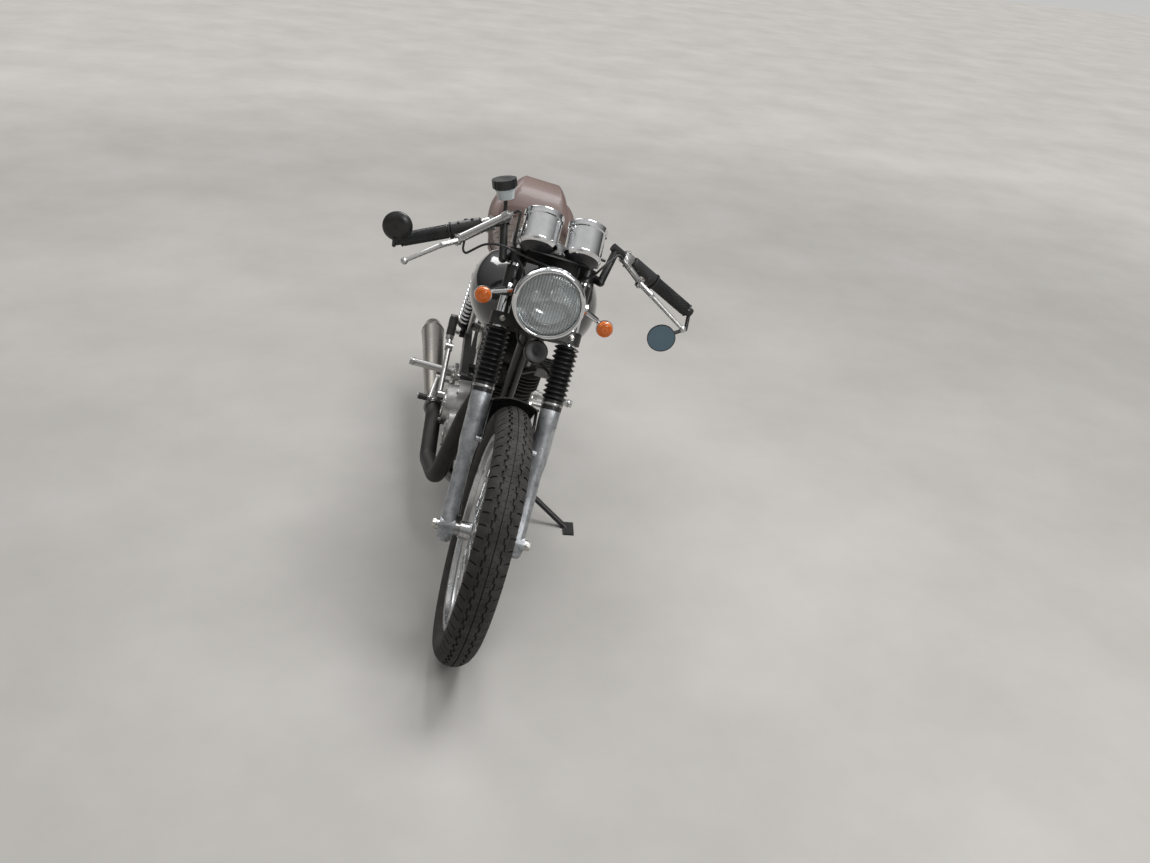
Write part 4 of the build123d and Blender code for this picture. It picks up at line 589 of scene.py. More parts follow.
put(band_clip(30.3, 9), at(-62, 0, 590, (-1, 0, 0)), "intake_clip_back", "chassis", clip_steel)
put(band_clip(24.3, 9), at(30, 0, 590, (-1, 0, 0)), "intake_clip_front", "chassis", clip_steel)
top_ring = stepped(60, 0.0305, 0.014, (0.0020, 0.0015), (0.0080, 0), (0.0100, 0.0050))
pick(top_ring, lambda centre, normal: abs(normal.z) < 0.1 and int(bearing(centre) // 6) % 2 == 0)
swell(0.0012)
put(top_ring, at(-42, 0, 642), "carburettor_top", "chassis", cover_alloy)

# Air filter: a cone of black gauze, pleated all round. A steel band clamps its rubber collar.
# The end cap is pressed steel.
filter_gauze = weathered("filter_gauze", (0.025, 0.025, 0.025), (0.09, 0.085, 0.08), (0.6, 0.8), 0.3, 90, 0.6)
dress(filter_gauze, "air_filter")
pleats = primitive(bpy.ops.mesh.primitive_cone_add, vertices=96, radius1=0.0345, radius2=0.0440,
                   depth=0.060, end_fill_type="NOTHING")
pick(pleats, lambda centre, normal: round(bearing(centre) / 3.75) % 2 == 0)
swell(0.0018)
put(pleats, at(-112, 0, 590, (-1, 0, 0)), "filter_pleats", "chassis", filter_gauze)
put(band_clip(44.3, 8), at(-143, 0, 590, (-1, 0, 0)), "filter_band", "chassis", clip_steel)

# Exhaust: a black heat-proof header is bolted to the port by a finned ring. A clamp holds it in
# the brushed steel cone, which is made of rolled sheet with welded seams.
header_black = weathered(
    "header_black", (0.012, 0.012, 0.012), (0.045, 0.039, 0.034), (0.42, 0.68), 0.2, 11, 0.2)
silencer_steel = weathered(
    "silencer_steel", (0.50, 0.48, 0.45), (0.33, 0.30, 0.265), (0.22, 0.42), 1.0, 5, 0.05)
dress(header_black, "exhaust_header")
dress(silencer_steel, "exhaust_silencer")
port_start, port_run = Vector((165, -34, 560)), Vector((63, -22, -10)).normalized()
silencer_start, silencer_run = Vector((-165, -168, 240)), Vector((-587, -54, 28)).normalized()
port_ring = applied(open_tube(48, 0.034, 0.012), "SOLIDIFY", thickness=0.0085, offset=-1)
pick(port_ring, lambda centre, normal: abs(normal.z) < 0.1 and centre.xy.length > 0.030 and int(
    bearing(centre) // 7.5) % 3 == 0)
swell(0.006)
put(port_ring, at(*(port_start + port_run * 14), port_run), "port_ring", "chassis", fin_near_black)
put(band_clip(30.4, 14), at(*(silencer_start - silencer_run * 22), silencer_run, 2.6), "silencer_clamp",
    "chassis", clip_steel)
seam = primitive(bpy.ops.mesh.primitive_torus_add, major_segments=64, minor_segments=10,
                 major_radius=0.0398, minor_radius=0.0016)
pick(seam, lambda centre, normal: abs(normal.z) > 0.8)
bpy.ops.transform.resize(value=(1, 1, 0.6))
put(seam, [at(*(silencer_start + silencer_run * along), silencer_run) for along in (532, 537)],
    "silencer_seams", "chassis", silencer_steel)

# Bodywork: a steel tank in deep gloss black under lacquer, and a moulded tail painted a
# mauve-brown. The side panels are bare pale grey plates.
tank_black = weathered(
    "tank_black", (0.008, 0.008, 0.009), (0.020, 0.019, 0.018), (0.10, 0.22), 0.0, 3, 0.01, 1.0)
tail_brown = weathered(
    "tail_brown", (0.118, 0.078, 0.070), (0.165, 0.115, 0.103), (0.40, 0.54), 0.0, 3, 0.02, 0.12)
panel_grey = weathered("panel_grey", (0.40, 0.39, 0.37), (0.27, 0.26, 0.25), (0.35, 0.5), 0.4, 9, 0.1)
chrome = weathered("chrome", (0.78, 0.79, 0.80), (0.62, 0.63, 0.64), (0.05, 0.14), 1.0, 6, 0.01)
dress(tank_black, "fuel_tank")
dress(tail_brown, "tail_cowl")
dress(panel_grey, "side_panels")
dress(chrome, "fuel_cap")
cap_lid = stepped(48, 0.0315, 0.006, (0.0020, 0.0020), (0.0090, 0.0008), (0.0020, -0.0016))
pick(cap_lid, lambda centre, normal: abs(normal.z) < 0.1 and abs(centre.x) < 0.004)
swell(0.005)
put(cap_lid, at(150, 0, 934.5), "cap_lid", "chassis", chrome)

# Tank seams: the tank is pressed in two halves, which meet in a thin welded lip low on each
# flank. Each row is a place on it, as (ahead, left, up).
tank_rows = ((282, 109, 724), (215, 129, 708), (120, 131, 702), (0, 113, 708))


def tube_along(name, spots, radius, body, finish):
    """Thin round bead that follows a smooth line through places on the upright machine."""
    line = bpy.data.curves.new(name, "CURVE")
    line.dimensions = "3D"
    run = line.splines.new("BEZIER")
    run.bezier_points.add(len(spots) - 1)
    for knot, spot in zip(run.bezier_points, spots):
        knot.co = lean @ (Vector(spot) / 1000)
        knot.handle_left_type = knot.handle_right_type = "AUTO"
    line.bevel_depth = radius / 1000
    line.bevel_resolution = 3
    line.use_fill_caps = True
    line.resolution_u = 10
    drawn = bpy.data.objects.new(name, line)
    bpy.context.scene.collection.objects.link(drawn)
    only(drawn)
    bpy.ops.object.convert(target="MESH")
    put(bpy.context.object, Matrix(), name, body, finish)


for side, sign in (("left", 1), ("right", -1)):
    tube_along(f"tank_lip_{side}", [(x, sign * y, z) for x, y, z in tank_rows], 2.2, "chassis", tank_black)

# Seat: brown-black leather over foam, glued and stapled to a thin base. It is crowned between
# sewn cross channels, with a welt round its top edge.
seat_leather = weathered(
    "seat_leather", (0.034, 0.022, 0.016), (0.070, 0.046, 0.034), (0.38, 0.55), 0.0, 24, 0.0)
leather_tree = seat_leather.node_tree
leather_place = shader_node(leather_tree, "TexCoord").outputs["Object"]
leather_cells = shader_node(leather_tree, "TexVoronoi", feature="DISTANCE_TO_EDGE")
wire(leather_tree, leather_cells, {"Scale": 520, "Vector": leather_place})
leather_grain = shader_node(leather_tree, "Bump", {
    "Strength": 0.35, "Distance": 0.0004, "Height": leather_cells.outputs["Distance"]}).outputs["Normal"]
wire(leather_tree, leather_tree.nodes["Principled BSDF"], {"Normal": leather_grain})

seat = bpy.data.objects.new("seat_cover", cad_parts["seat_pad"].data.copy())
bpy.context.scene.collection.objects.link(seat)
only(seat)
bpy.ops.object.mode_set(mode="EDIT")
bpy.ops.mesh.select_all(action="SELECT")
bpy.ops.mesh.remove_doubles(threshold=0.00005)
bpy.ops.transform.shrink_fatten(value=-0.0035)
applied(seat, "REMESH", mode="VOXEL", voxel_size=0.005)
upright = lean.inverted()
seat_foot, most_swell = 0.752, 0.0065
held = seat.vertex_groups.new(name="stapled")
held.add([point.index for point in seat.data.vertices if (upright @ point.co).z < seat_foot + 0.010],
         1.0, "REPLACE")
before = [point.co.copy() for point in seat.data.vertices]
filling = seat.modifiers.new("filling", "CLOTH")
filling.settings.use_pressure = True
filling.settings.uniform_pressure_force = 4
filling.settings.effector_weights.gravity = 0
filling.settings.vertex_group_mass = "stapled"
for step in range(1, 21):
    bpy.context.scene.frame_set(step)
bpy.ops.object.modifier_apply(modifier="filling")
bpy.context.scene.frame_set(1)
for point, start in zip(seat.data.vertices, before):
    moved = point.co - start
    if moved.length > most_swell:
        point.co = start + moved.normalized() * most_swell
applied(seat, "SUBSURF", levels=1, render_levels=1)
channels = [-160 - 44 * number for number in range(8)]
for point in seat.data.vertices:
    spot = upright @ point.co
    top = min(max((spot.z - seat_foot - 0.014) / 0.020, 0), 1)
    nearest = min(abs(spot.x * 1000 - channel) for channel in channels)
    spot.z -= top * 0.0052 * math.exp(-((nearest / 4.0) ** 2))
    point.co = lean @ spot
put(seat, Matrix(), "seat_cover", "chassis", seat_leather, crease=60)
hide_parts("seat_pad")
dress(seat_leather, "seat_pad")
welt_rows = ((-116, 65.5, 781), (-200, 85.5, 781), (-340, 107.5, 787), (-430, 111.5, 796), (-514, 113.5, 805))
for side, sign in (("left", 1), ("right", -1)):
    tube_along(f"seat_welt_{side}", [(x, sign * y, z) for x, y, z in welt_rows], 2.4, "chassis", seat_leather)

# Tail: the painted moulding has a stitched brown pad on its steep front face as a bump stop, and
# a round red lamp in a chrome ring at its end.
stop_rows = ((-530, 106, 812), (-541, 96, 846), (-556, 78, 876), (-572, 52, 896), (-576, 0, 900))
stop_edge = [*stop_rows, *((x, -y, z) for x, y, z in stop_rows[-2::-1])]
stop_middle = 846
for number, (inset, bead) in enumerate(((0.97, 1.6), (0.88, 1.1))):
    tube_along(f"tail_seam_{number}", [
        (x + 2.5, y * inset, stop_middle + (z - stop_middle) * inset) for x, y, z in stop_edge],
        bead, "chassis", seat_leather)
red_lens = weathered("red_lens", (0.38, 0.008, 0.008), (0.30, 0.006, 0.006), (0.08, 0.14), 0.0, 4, 0.0, 0.6)
dress(red_lens, "tail_lamp")


def hoop(around, across, radius, tube, z=0.0, flat_below=-0.7, drop=0.0):
    """Ring of round section about Z = z, in metres, whose lower faces are drawn down to a skirt."""
    ring = primitive(bpy.ops.mesh.primitive_torus_add, major_segments=around, minor_segments=across,
                     major_radius=radius, minor_radius=tube, location=(0, 0, z))
    pick(ring, lambda centre, normal: normal.z < flat_below)
    bpy.ops.transform.translate(value=(0, 0, -drop))
    return ring


put(hoop(64, 14, 0.0335, 0.0032, flat_below=-0.5, drop=0.003), at(-851, 0, 806, (-1, 0, 0)),
    "tail_lamp_ring", "chassis", chrome)

# Shocks: black dampers inside chrome coil springs, with a rubber bush at each eye. A dome nut
# holds each eye on its stud.
dress(frame_enamel, "shocks")
dress(chrome, "shock_springs")
put(hex_head(17, 9), [
    at(x, sign * 127, z, (0, sign, 0), x) for x, z in ((-455, 632), (-625, 322)) for sign in (1, -1)],
    "shock_nuts", "chassis", chrome)

# Fork: cast alloy legs with a mottled grey bloom, whose bright patches are partly painted
# highlight, chrome tubes in ribbed rubber gaiters held by clips, and two alloy yokes with pinch
# bolts. Nuts close the stem, the tubes and the axle.
# The legs' mottle is partly real bloom and partly painted highlight streaks
leg_bloom_and_sheen = weathered("leg_bloom_and_sheen", (0.50, 0.52, 0.54), (0.17, 0.18, 0.19), (0.26, 0.56), 0.80, 34, 0.5)
yoke_enamel = weathered(
    "yoke_enamel", (0.014, 0.014, 0.015), (0.05, 0.048, 0.045), (0.30, 0.50), 0.2, 14, 0.1)
gaiter_rubber = weathered(
    "gaiter_rubber", (0.010, 0.010, 0.011), (0.030, 0.030, 0.029), (0.24, 0.42), 0.0, 12, 0.08)
dress(leg_bloom_and_sheen, "fork_legs", edge_mm=0.8)
dress(cover_alloy, "upper_yoke", edge_mm=1.0)
dress(yoke_enamel, "lower_yoke")
dress(gaiter_rubber, "fork_gaiters")
dress(chrome, "fork_tubes")
fork_ahead, fork_up = Vector((0.887011, 0, 0.461749)), Vector((-0.461749, 0, 0.887011))
leg_spread, stem_setback = 91, -50.9


def on_fork(ahead, left, up):
    """Place on the fork, from millimetres ahead of, left of and up from the front axle."""
    return Vector((700, left, 335)) + fork_ahead * ahead + fork_up * up


clips = []
for sign in (1, -1):
    for radius, up in ((27.2, 361), (24.2, 509)):
        clip = band_clip(radius, 7)
        clip.matrix_basis = at(*on_fork(0, sign * leg_spread, up), fork_up, 2.2 * sign) @ clip.matrix_basis
        clips.append(clip)
put(joined(clips), Matrix(), "gaiter_clips", "steering", clip_steel)
put(hex_head(12, 6), [
    at(*on_fork(ahead, sign * leg_spread, up), fork_ahead)
    for ahead, up in ((29, 541), (27, 749)) for sign in (1, -1)],
    "pinch_bolts", "steering", bright_zinc)
put(hex_head(27, 8), at(*on_fork(stem_setback, 0, 773), fork_up), "stem_nut", "steering", chrome)
put(hex_head(22, 5), [at(*on_fork(0, sign * leg_spread, 775.5), fork_up) for sign in (1, -1)],
    "tube_caps", "steering", chrome)
put(hex_head(22, 7), [at(700, sign * 118.8, 335, (0, sign, 0), 0.2) for sign in (1, -1)],
    "axle_nuts", "steering", bright_zinc)

# Front brake: a cast caliper, its hose and the control cables. The steel disc's drillings in
# three rings are drawn as near-black plugs, painted shade where the holes are, and six bolts
# hold it on the hub.
dress(cast_alloy, "brake_caliper", edge_mm=1.0)
cable_rubber = weathered(
    "cable_rubber", (0.012, 0.012, 0.012), (0.035, 0.034, 0.033), (0.40, 0.60), 0.0, 30, 0.1)
dress(cable_rubber, "brake_hose", "control_cables")


def on_disc(ring, turned, left):
    """Place on the front disc, facing left, from a ring's radius and a turn in radians."""
    return at(700 + ring * math.cos(turned), left, 335 + ring * math.sin(turned), (0, 1, 0))


bolt_turns = [math.radians(60 * number + 15) for number in range(6)]
put(hex_head(12, 4), [on_disc(41, turned, 39) @ Matrix.Rotation(turned, 4, "Z") for turned in bolt_turns],
    "disc_bolts", "front_wheel", bright_zinc)
# Each drill hole is a near-black plug in the tyre-wall rubber finish: painted shade in place of the open hole
hole = stepped(14, 0.0042, 0.0054, foot=-0.0027)
pick(hole, lambda centre, normal: abs(normal.z) > 0.9)
bpy.ops.mesh.inset(thickness=0.0007, depth=0)
bpy.ops.mesh.inset(thickness=0.0005, depth=-0.0010)
put(hole, [on_disc(ring, turned + math.radians(20 * number), 49.5)
           for ring, turned in ((116, 0.0), (128, 0.10), (140, 0.20)) for number in range(18)],
    "disc_hole_shades", "front_wheel", wall_rubber_and_hole_shade)

# Front mudguard: a rolled black steel strip, as the solid gives it. Two round stays carry it
# from the legs.
dress(frame_enamel, "front_mudguard")

# Headlight: a black bowl on two brackets, and a chrome rim with its clip screw. The rim holds
# a bright reflector with its bulb, behind a domed glass with moulded flutes. The glass's colour
# is striped pale and dark across the flutes as painted shade of their refraction.
dress(frame_enamel, "headlight_shell", "headlight_brackets")
dress(chrome, "headlight_rim")
lens_glass, glass_tree, glass_shader = new_finish("lens_glass")
glass_place = shader_node(glass_tree, "TexCoord").outputs["Object"]
glass_film = shader_node(glass_tree, "TexNoise", {
    "Vector": glass_place, "Scale": 35, "Detail": 6}).outputs["Fac"]
glass_haze = shader_node(glass_tree, "MapRange", {"Value": glass_film, "To Min": 0.02, "To Max": 0.09})
# Pale and dark stripes across the flutes in the glass's colour: painted shade standing in for the light the
# flutes bend
flute_waves = lean.to_3x3() @ Vector((0, 872, 0))
glass_across = shader_node(
    glass_tree, "VectorMath", {0: glass_place, 1: flute_waves}, operation="DOT_PRODUCT")
flute_shade_wave = shader_node(glass_tree, "Math", {0: glass_across.outputs["Value"]}, operation="SINE")
flute_painted_shade = shader_node(glass_tree, "MapRange", {"Value": flute_shade_wave.outputs["Value"], "From Min": -1})
wire(glass_tree, glass_shader, {
    "Transmission Weight": 0.82, "IOR": 1.45, "Roughness": glass_haze.outputs["Result"],
    "Base Color": two_tone(glass_tree, flute_painted_shade.outputs["Result"], (0.66, 0.70, 0.70), (0.95, 0.98, 0.98))})
dress(lens_glass, "headlight_lens")
glass_radius, flute_width = 77.2, 7.2
lamp_centre = on_fork(150.5, 0, 588)
lamp_ahead = Vector((math.cos(math.radians(3)), 0, math.sin(math.radians(3))))
lamp_turn = Matrix((
    Vector((0, 1, 0)), Vector((-lamp_ahead.z, 0, lamp_ahead.x)), lamp_ahead)).transposed().to_4x4()
lamp_place = lean @ Matrix.Translation(lamp_centre / 1000) @ lamp_turn
flutes = primitive(bpy.ops.mesh.primitive_grid_add, x_subdivisions=168, y_subdivisions=40, size=2)
for point in flutes.data.vertices:
    x, y = point.co.x, point.co.y
    across, tall = x * math.sqrt(1 - y * y / 2), y * math.sqrt(1 - x * x / 2)
    share = math.hypot(across, tall)
    band = 1 if abs(tall) < 0.62 else 0.45
    fluted = 1.15 if share < 0.96 else 0
    ridge = abs(math.sin(across * glass_radius / flute_width * math.pi)) * band * fluted
    dome = 9.0 - 6.5 * share**2 - 5.8 * share**6
    point.co = Vector((across * glass_radius, tall * glass_radius, dome + ridge)) / 1000
applied(flutes, "SOLIDIFY", thickness=0.0030, offset=-1)
put(flutes, lamp_place, "headlight_glass", "steering", lens_glass, crease=60)
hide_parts("headlight_lens")
bulb = primitive(bpy.ops.mesh.primitive_uv_sphere_add, segments=24, ring_count=12, radius=0.011,
                 location=(0, 0, -0.034))
pick(bulb, lambda centre, normal: normal.z < -0.6)
bpy.ops.mesh.extrude_region_move(TRANSFORM_OT_translate={"value": (0, 0, -0.018)})
put(bulb, lamp_place, "headlight_bulb", "steering", cover_alloy)
put(hoop(96, 16, 0.0835, 0.0055, z=-0.0005, drop=0.004), lamp_place, "headlight_rim_roll", "steering", chrome)
rim_foot = lamp_place @ Matrix.Translation((0, -0.087, -0.010))
put(pan_screw(4.2), rim_foot @ Matrix.Rotation(math.radians(90), 4, "X"),
    "rim_screw", "steering", bright_zinc)
put(hex_head(15, 6), [at(*(lamp_centre + Vector((-62, sign * 95.5, -4))), (0, sign, 0)) for sign in (1, -1)],
    "bracket_bolts", "steering", chrome)


# Indicators: round amber lenses in chrome housings on short black stalks. The solids are dressed
# in zones along the lamp's axis, and a chrome ring holds each stepped lens.
def zoned(name, finishes, axis, limits):
    """Joins finishes of (colour, gloss, metal) end to end along an axis, at limits in metres."""
    whole, tree, shader = new_finish(name)
    place = shader_node(tree, "TexCoord").outputs["Object"]
    along = shader_node(tree, "VectorMath", {0: place, 1: axis}, operation="DOT_PRODUCT").outputs["Value"]
    film = shader_node(tree, "TexNoise", {"Vector": place, "Scale": 40, "Detail": 6}).outputs["Fac"]
    so_far = None
    for number, (colour, gloss, metal) in enumerate(finishes):
        darker = [value * 0.72 for value in colour]
        tint = shader_node(tree, "MixRGB", {0: film, 1: (*colour, 1), 2: (*darker, 1)}).outputs[0]
        if number == 0:
            so_far = (tint, gloss, metal)
            continue
        past = shader_node(
            tree, "Math", {0: along, 1: limits[number - 1]}, operation="GREATER_THAN").outputs[0]
        so_far = (shader_node(tree, "MixRGB", {0: past, 1: so_far[0], 2: tint}).outputs[0],
                  shader_node(tree, "Mix", {0: past, 2: so_far[1], 3: gloss}).outputs[0],
                  shader_node(tree, "Mix", {0: past, 2: so_far[2], 3: metal}).outputs[0])
    wire(tree, shader, dict(zip(("Base Color", "Roughness", "Metallic"), so_far)))
    return whole


amber, housing = ((0.66, 0.13, 0.010), 0.12, 0.0), ((0.75, 0.76, 0.77), 0.12, 1.0)
amber_plastic = weathered(
    "amber_plastic", (0.74, 0.17, 0.012), (0.62, 0.12, 0.010), (0.06, 0.14), 0.0, 30, 0.0, 0.8)
dress(zoned("front_indicator_zones", (housing, amber), (1, 0, 0), (0.5110,)), "front_indicators")
dress(zoned("rear_indicator_zones", (housing, amber), (-1, 0, 0), (0.7180,)), "rear_indicators")
lens_steps = ((0.0012, 0.0020), (0.0016, -0.0004), (0.0022, 0.0020), (0.0016, -0.0005),
              (0.0026, 0.0018), (0.0016, -0.0005), (0.0026, 0.0012), (0.0016, -0.0004))
# Where they are: the body, the left lens's centre, which way it faces and the stalk's run
for where, body, (x, y, z), facing, (run_x, run_y, run_z) in (
        ("front", "steering", (514, 157, 889), 1, (10, 66, -29)),
        ("rear", "chassis", (-716, 150, 700), -1, (-2, 60, -28))):
    faces = [at(x, sign * y, z, (facing, 0, 0)) for sign in (1, -1)]
    bezel = applied(open_tube(40, 0.0214, 0.004, foot=-0.002), "SOLIDIFY", thickness=0.0018, offset=0)
    pick(bezel, lambda centre, normal: abs(normal.z) < 0.2 and centre.xy.length > 0.0215)
    bpy.ops.mesh.bevel(offset=0.0005, segments=2)
    put(bezel, faces, f"{where}_indicator_rings", body, chrome)
    put(stepped(26, 0.0202, 0.0085, *lens_steps), faces,
        f"{where}_indicator_lenses", body, amber_plastic, crease=12)
    put(stepped(20, 0.0068, 0.030, (0.0010, 0.002), foot=-0.015), [
        at(x - facing * 14 - run_x * 0.55, sign * (y - run_y * 0.55), z - run_z * 0.55,
           (run_x, sign * run_y, run_z)) for sign in (1, -1)],
        f"{where}_indicator_boots", body, gaiter_rubber)

# Clocks: chrome cups with black bases, white marks and plain numbers on black dials, red needles
# and flat glasses. A turned ring closes each cup, and the left one has a reset knob on its side.
clock_tilt = math.radians(42)
clock_up = Vector((-math.sin(clock_tilt), 0, math.cos(clock_tilt)))
clock_centre, clock_spacing = on_fork(63.3, 0, 812.5), 57
clock_zone = lean.to_3x3() @ clock_up
clock_edge = clock_zone.dot(lean @ ((clock_centre - clock_up * 91) / 1000))
cup_base, cup_chrome = ((0.020, 0.020, 0.021), 0.35, 0.0), ((0.86, 0.87, 0.88), 0.11, 1.0)
dress(zoned("clock_cup_zones", (cup_base, cup_chrome), clock_zone, (clock_edge,)), "clock_cups")
dress(frame_enamel, "clock_bracket")
clock_glass = weathered("clock_glass", (0.95, 0.97, 0.97), (0.90, 0.92, 0.92), (0.02, 0.06), 0.0, 30, 0.0)
wire(clock_glass.node_tree, clock_glass.node_tree.nodes["Principled BSDF"],
     {"Transmission Weight": 1.0, "IOR": 1.45})
dress(clock_glass, "clock_glasses")
dial_black = weathered("dial_black", (0.012, 0.012, 0.013), (0.020, 0.020, 0.020), (0.45, 0.6), 0.0, 50, 0.02)
dial_white = weathered("dial_white", (0.80, 0.79, 0.75), (0.70, 0.69, 0.64), (0.45, 0.6), 0.0, 50, 0.02)
needle_red = weathered("needle_red", (0.60, 0.06, 0.02), (0.50, 0.05, 0.02), (0.35, 0.5), 0.0, 50, 0.02)
dial_turn = Matrix((Vector((0, -1, 0)), Vector((clock_up.z, 0, -clock_up.x)), clock_up)).transposed().to_4x4()
dial_sweep, mark_start, number_start, number_ring = 270, 135, 225, 0.0315
for side, sign, top_number, steps, pointing in (("left", 1, 18, 9, 205), ("right", -1, 12, 12, 215)):
    spot = clock_centre + Vector((0, sign * clock_spacing, 0))
    dial_place = lean @ Matrix.Translation(spot / 1000) @ dial_turn
    dial = put(stepped(64, 0.0458, 0.0006, (0.0012, -0.0002), foot=-0.0069), dial_place,
               f"{side}_dial", "steering", dial_black)
    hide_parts("clock_glasses")
    mark = primitive(bpy.ops.mesh.primitive_cube_add, size=1, location=(0, 0.0405, -0.0062),
                     scale=(0.0010, 0.0062, 0.0003))
    bpy.ops.object.transform_apply(location=True, rotation=True, scale=True)
    pick(mark, lambda centre, normal: normal.y > 0.9)
    bpy.ops.transform.resize(value=(1.5, 1, 1))
    turns = [math.radians(mark_start - dial_sweep * number / steps / 2) for number in range(steps * 2 + 1)]
    put(mark, [dial_place @ Matrix.Rotation(turned, 4, "Z") for turned in turns],
        f"{side}_dial_marks", "steering", dial_white)
    figures = []
    for number in range(steps + 1):
        words = bpy.data.curves.new("figure", "FONT")
        words.body = str(round(top_number * number / steps))
        words.size = 0.0075
        words.align_x, words.align_y = "CENTER", "CENTER"
        words.extrude = 0.00015
        turn_at = math.radians(number_start - dial_sweep * number / steps)
        figure = bpy.data.objects.new("figure", words)
        figure.location = (number_ring * math.cos(turn_at), number_ring * math.sin(turn_at), -0.0061)
        bpy.context.scene.collection.objects.link(figure)
        figures.append(figure)
    only(*figures)
    bpy.ops.object.convert(target="MESH")
    bpy.ops.object.join()
    put(bpy.context.object, dial_place, f"{side}_dial_numbers", "steering", dial_white)
    needle = primitive(bpy.ops.mesh.primitive_cone_add, vertices=4, radius1=0.0022, radius2=0.0004,
                       depth=0.036, location=(0, 0, 0.015))
    needle.scale = (1, 0.25, 1)
    bpy.ops.object.transform_apply(location=True, rotation=True, scale=True)
    needle.data.transform(
        Matrix.Translation((0, 0, -0.0052)) @ Matrix.Rotation(math.radians(pointing - 90), 4, "Z")
        @ Matrix.Rotation(math.radians(-90), 4, "X"))
    put(needle, dial_place, f"{side}_needle", "steering", needle_red)
    put(stepped(32, 0.0062, 0.0022, (0.0020, 0.0006), foot=-0.0057), dial_place,
        f"{side}_needle_hub", "steering", dial_black)
    put(stepped(64, 0.0458, 0.0012, (0.0020, 0.0004), foot=-0.0032), dial_place,
        f"{side}_clock_pane", "steering", clock_glass)
    put(hoop(72, 12, 0.0488, 0.0026, z=-0.0012, drop=0.005), dial_place,
        f"{side}_clock_ring", "steering", chrome)
put(hex_head(9, 12), at(*(clock_centre + Vector((0, clock_spacing + 47, 0)) - clock_up * 70), (0, 1, 0)),
    "reset_knob", "steering", gaiter_rubber)

# Bars: black clip-on tubes with waffled rubber grips, round switch housings with rubber buttons,
# alloy levers on cast perches and round mirrors.
lever_alloy = weathered("lever_alloy", (0.62, 0.62, 0.61), (0.42, 0.41, 0.40), (0.30, 0.46), 1.0, 12, 0.05)
mirror_silver = weathered("mirror_silver", (0.13, 0.19, 0.24), (0.11, 0.165, 0.21), (0.03, 0.06), 1.0, 3, 0.0)
dress(frame_enamel, "clipons", "mirrors")
dress(gaiter_rubber, "grips")
dress(lever_alloy, "levers")
dress(cover_alloy, "perches", "rearsets", edge_mm=0.6)
dress(mirror_silver, "mirror_glasses")
# Each bar: its top 148 mm from the middle, its slope per millimetre outward, and its side
bar_rows = {"right": (on_fork(14.1, 148, 780.7), Vector((-0.10, 1, -0.55)), -1),
            "left": (on_fork(19.6, 148, 791.3), Vector((-0.10, 1, -0.46)), 1)}
grip_from, grip_to, switch_from, waffle_rows, waffle_step = 277, 380, 203, 22, 11.25


def on_bar(side, across):
    """Place on a bar's centre line that far from the middle, and the line's way outward."""
    top, slope, sign = bar_rows[side]
    spot = top + slope * (across - top.y)
    return Vector((spot.x, sign * spot.y, spot.z)), Vector((slope.x, sign * slope.y, slope.z)).normalized()


def sliced(piece, length, count):
    """Cuts a standing tube across into a count of equal rings."""
    bpy.ops.object.mode_set(mode="EDIT")
    for cut in range(1, count):
        bpy.ops.mesh.select_all(action="SELECT")
        bpy.ops.mesh.bisect(plane_co=(0, 0, length * cut / count), plane_no=(0, 0, 1))
    return piece


for side in bar_rows:
    start, run = on_bar(side, grip_from)
    length = (on_bar(side, grip_to)[0] - start).length / 1000
    sleeve = sliced(open_tube(32, 0.01655, length), length, waffle_rows)
    pick(sleeve, lambda centre, normal: (int(centre.z / length * waffle_rows) + int(
        (bearing(centre) + 360) // waffle_step)) % 2 == 0)
    bpy.ops.mesh.inset(thickness=0.0005, depth=0.0014, use_individual=True)
    put(sleeve, at(*start, run), f"{side}_grip_waffle", "steering", gaiter_rubber)
    start, run = on_bar(side, switch_from)
    buttons = []
    for along, turned, size in ((0.016, 1.2, 0.0042), (0.034, 1.8, 0.0052), (0.052, 1.0, 0.0036)):
        button = stepped(20, size, 0.006, (0.0006, 0.0006), (0.0012, -0.0003))
        button.matrix_basis = (
            at(*start, run) @ Matrix.Translation((0, 0, along))
            @ Matrix.Rotation(turned + (2.2 if side == "left" else 0.2), 4, "Z")
            @ Matrix.Translation((0.0195, 0, 0)) @ Matrix.Rotation(math.radians(90), 4, "Y"))
        buttons.append(button)
    put(joined(buttons), Matrix(), f"{side}_switch_buttons", "steering", gaiter_rubber)

# Master cylinder, perches and levers: pivot screws and clamp bolts, with a ribbed black cap on
# the cloudy fluid cup, which stands on a black arm.
reservoir_foot = on_bar("right", 148)[0] + Vector((-2, -11, 57))
reservoir_up = Vector((0, -0.38, 0.92)).normalized()
cup_zone = lean.to_3x3() @ reservoir_up
cup_low = cup_zone.dot(lean @ (reservoir_foot / 1000))
cup_parts = (
    ((0.02, 0.02, 0.02), 0.35, 0.0), ((0.62, 0.68, 0.70), 0.22, 0.0), ((0.014, 0.014, 0.014), 0.38, 0.0))
dress(zoned("reservoir_zones", cup_parts, cup_zone, (cup_low - 0.0005, cup_low + 0.0300)), "brake_reservoir")
cup_cap = stepped(72, 0.0302, 0.0200, foot=0.0002)
pick(cup_cap, lambda centre, normal: abs(normal.z) < 0.1 and round(bearing(centre) / 5) % 3 != 0)
swell(0.0014)
pick(cup_cap, lambda centre, normal: normal.z > 0.9 and centre.xy.length < 0.02)
bpy.ops.mesh.inset(thickness=0.0050, depth=-0.0012)
bpy.ops.mesh.inset(thickness=0.0080, depth=0.0012)
put(cup_cap, at(*(reservoir_foot + reservoir_up * 30), reservoir_up),
    "reservoir_cap", "steering", gaiter_rubber)
cup_rib = primitive(bpy.ops.mesh.primitive_torus_add, major_segments=56, minor_segments=10,
                    major_radius=0.0262, minor_radius=0.0012)
pick(cup_rib, lambda centre, normal: normal.z > 0.6)
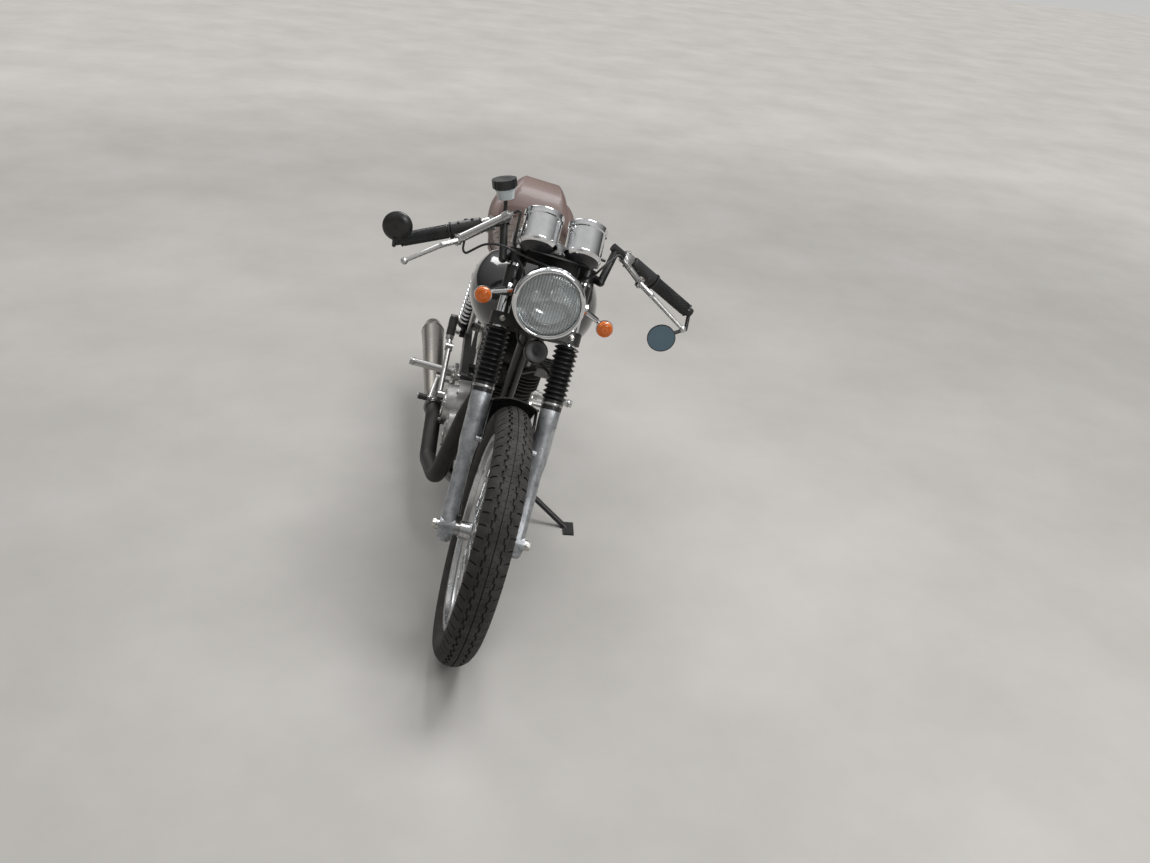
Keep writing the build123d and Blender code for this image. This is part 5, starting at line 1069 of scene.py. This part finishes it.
bpy.ops.transform.resize(value=(1.01, 1.01, 1))
put(cup_rib, at(*(reservoir_foot + reservoir_up * 27), reservoir_up),
    "reservoir_rib", "steering", gaiter_rubber)
screw_places = []
# Each perch: the pivot and the inner end, as a reach along the bar and a shift, and the adjuster
for side, pivot_y, pivot_shift, inner_y, inner_shift, adjuster_radius in (
        ("right", 248, (49, 0, -13), 140, (43, 0, 29), 0.0125),
        ("left", 226, (48, 0, -17), 172, (45, 0, -1), 0.0075)):
    pivot = on_bar(side, pivot_y)[0] + Vector(pivot_shift)
    inner = on_bar(side, inner_y)[0] + Vector(inner_shift)
    clamp = on_bar(side, 182)[0]
    for way in (1, -1):
        screw_places.append(at(*(pivot + Vector((0, 0, way * 9.5))), (0, 0, way)))
        screw_places.append(at(*(clamp + Vector((2, 0, way * 16.5))), (0.2, 0, way)))
    cylinder_run = (inner - pivot).normalized()
    collar = stepped(28, adjuster_radius, 0.016, foot=-0.008)
    pick(collar, lambda centre, normal: abs(normal.z) < 0.1 and round(bearing(centre) / 12.857) % 2 == 0)
    swell(0.0010)
    pick(collar, lambda centre, normal: abs(normal.z) > 0.9)
    bpy.ops.mesh.inset(thickness=0.0012, depth=0.0008)
    put(collar, at(*(inner - cylinder_run * 12), cylinder_run), f"{side}_adjuster", "steering", cover_alloy)
put(pan_screw(5.5), screw_places, "lever_screws", "steering", bright_zinc)

# Foot controls: cast pegs with ridged rubber sleeves, and toe pieces with small ribbed rubbers.
# Bolts hold their plates on the frame.
peg_rubber = weathered("peg_rubber", (0.016, 0.016, 0.016), (0.05, 0.048, 0.045), (0.5, 0.75), 0.0, 30, 0.2)


def ridged_sleeve(radius, length, ridges):
    """Rubber sleeve with raised rings, in millimetres, standing on Z = 0."""
    rings = ridges * 2
    sleeve = sliced(stepped(28, radius / 1000, length / 1000), length / 1000, rings)
    pick(sleeve, lambda centre, normal: (
        abs(normal.z) < 0.1 and int(centre.z * 1000 / length * rings) % 2 == 1))
    swell(0.0013)
    return sleeve


for side, sign in (("left", 1), ("right", -1)):
    put(ridged_sleeve(9.2, 30, 6), at(-98, sign * 194, 288, (0, sign, 0)),
        f"{side}_toe_rubber", "chassis", peg_rubber)
    put(band_clip(12.4, 6), at(-246, sign * 262, 332, (0, sign, 0)),
        f"{side}_peg_ring", "chassis", clip_steel)
put(hex_head(14, 6), [
    at(x, sign * 130.2, z, (0, sign, 0), x)
    for x, z in ((-188, 345), (-180, 322), (-276, 332)) for sign in (1, -1)],
    "rearset_bolts", "chassis", bright_zinc)

# Kick-starter: a forged steel crank, as the solid gives it. A ridged rubber covers its folded
# pedal.
dress(cover_alloy, "kick_starter")
kick_run = Vector((-44, -2, 68))
put(ridged_sleeve(13.4, 62, 9), at(*(Vector((-288, -171, 424)) + kick_run.normalized() * 12), kick_run),
    "kick_rubber", "chassis", peg_rubber)

# Side stand: a black tube with a welded foot, as the solid gives it. Its pivot bolt has a nut.
# The nut stays with the frame when the stand folds.
stand_pivot, stand_foot = Vector((40, 116, 170)), Vector((104, 328.95, 71.03))
stand_down = (stand_foot - stand_pivot).normalized()
stand_pin = stand_down.cross(Vector((-0.97, 0.24, 0)).normalized()).normalized()
put(hex_head(17, 7), at(*(stand_pivot + stand_pin * 13.6), stand_pin), "stand_nut", "chassis", bright_zinc)
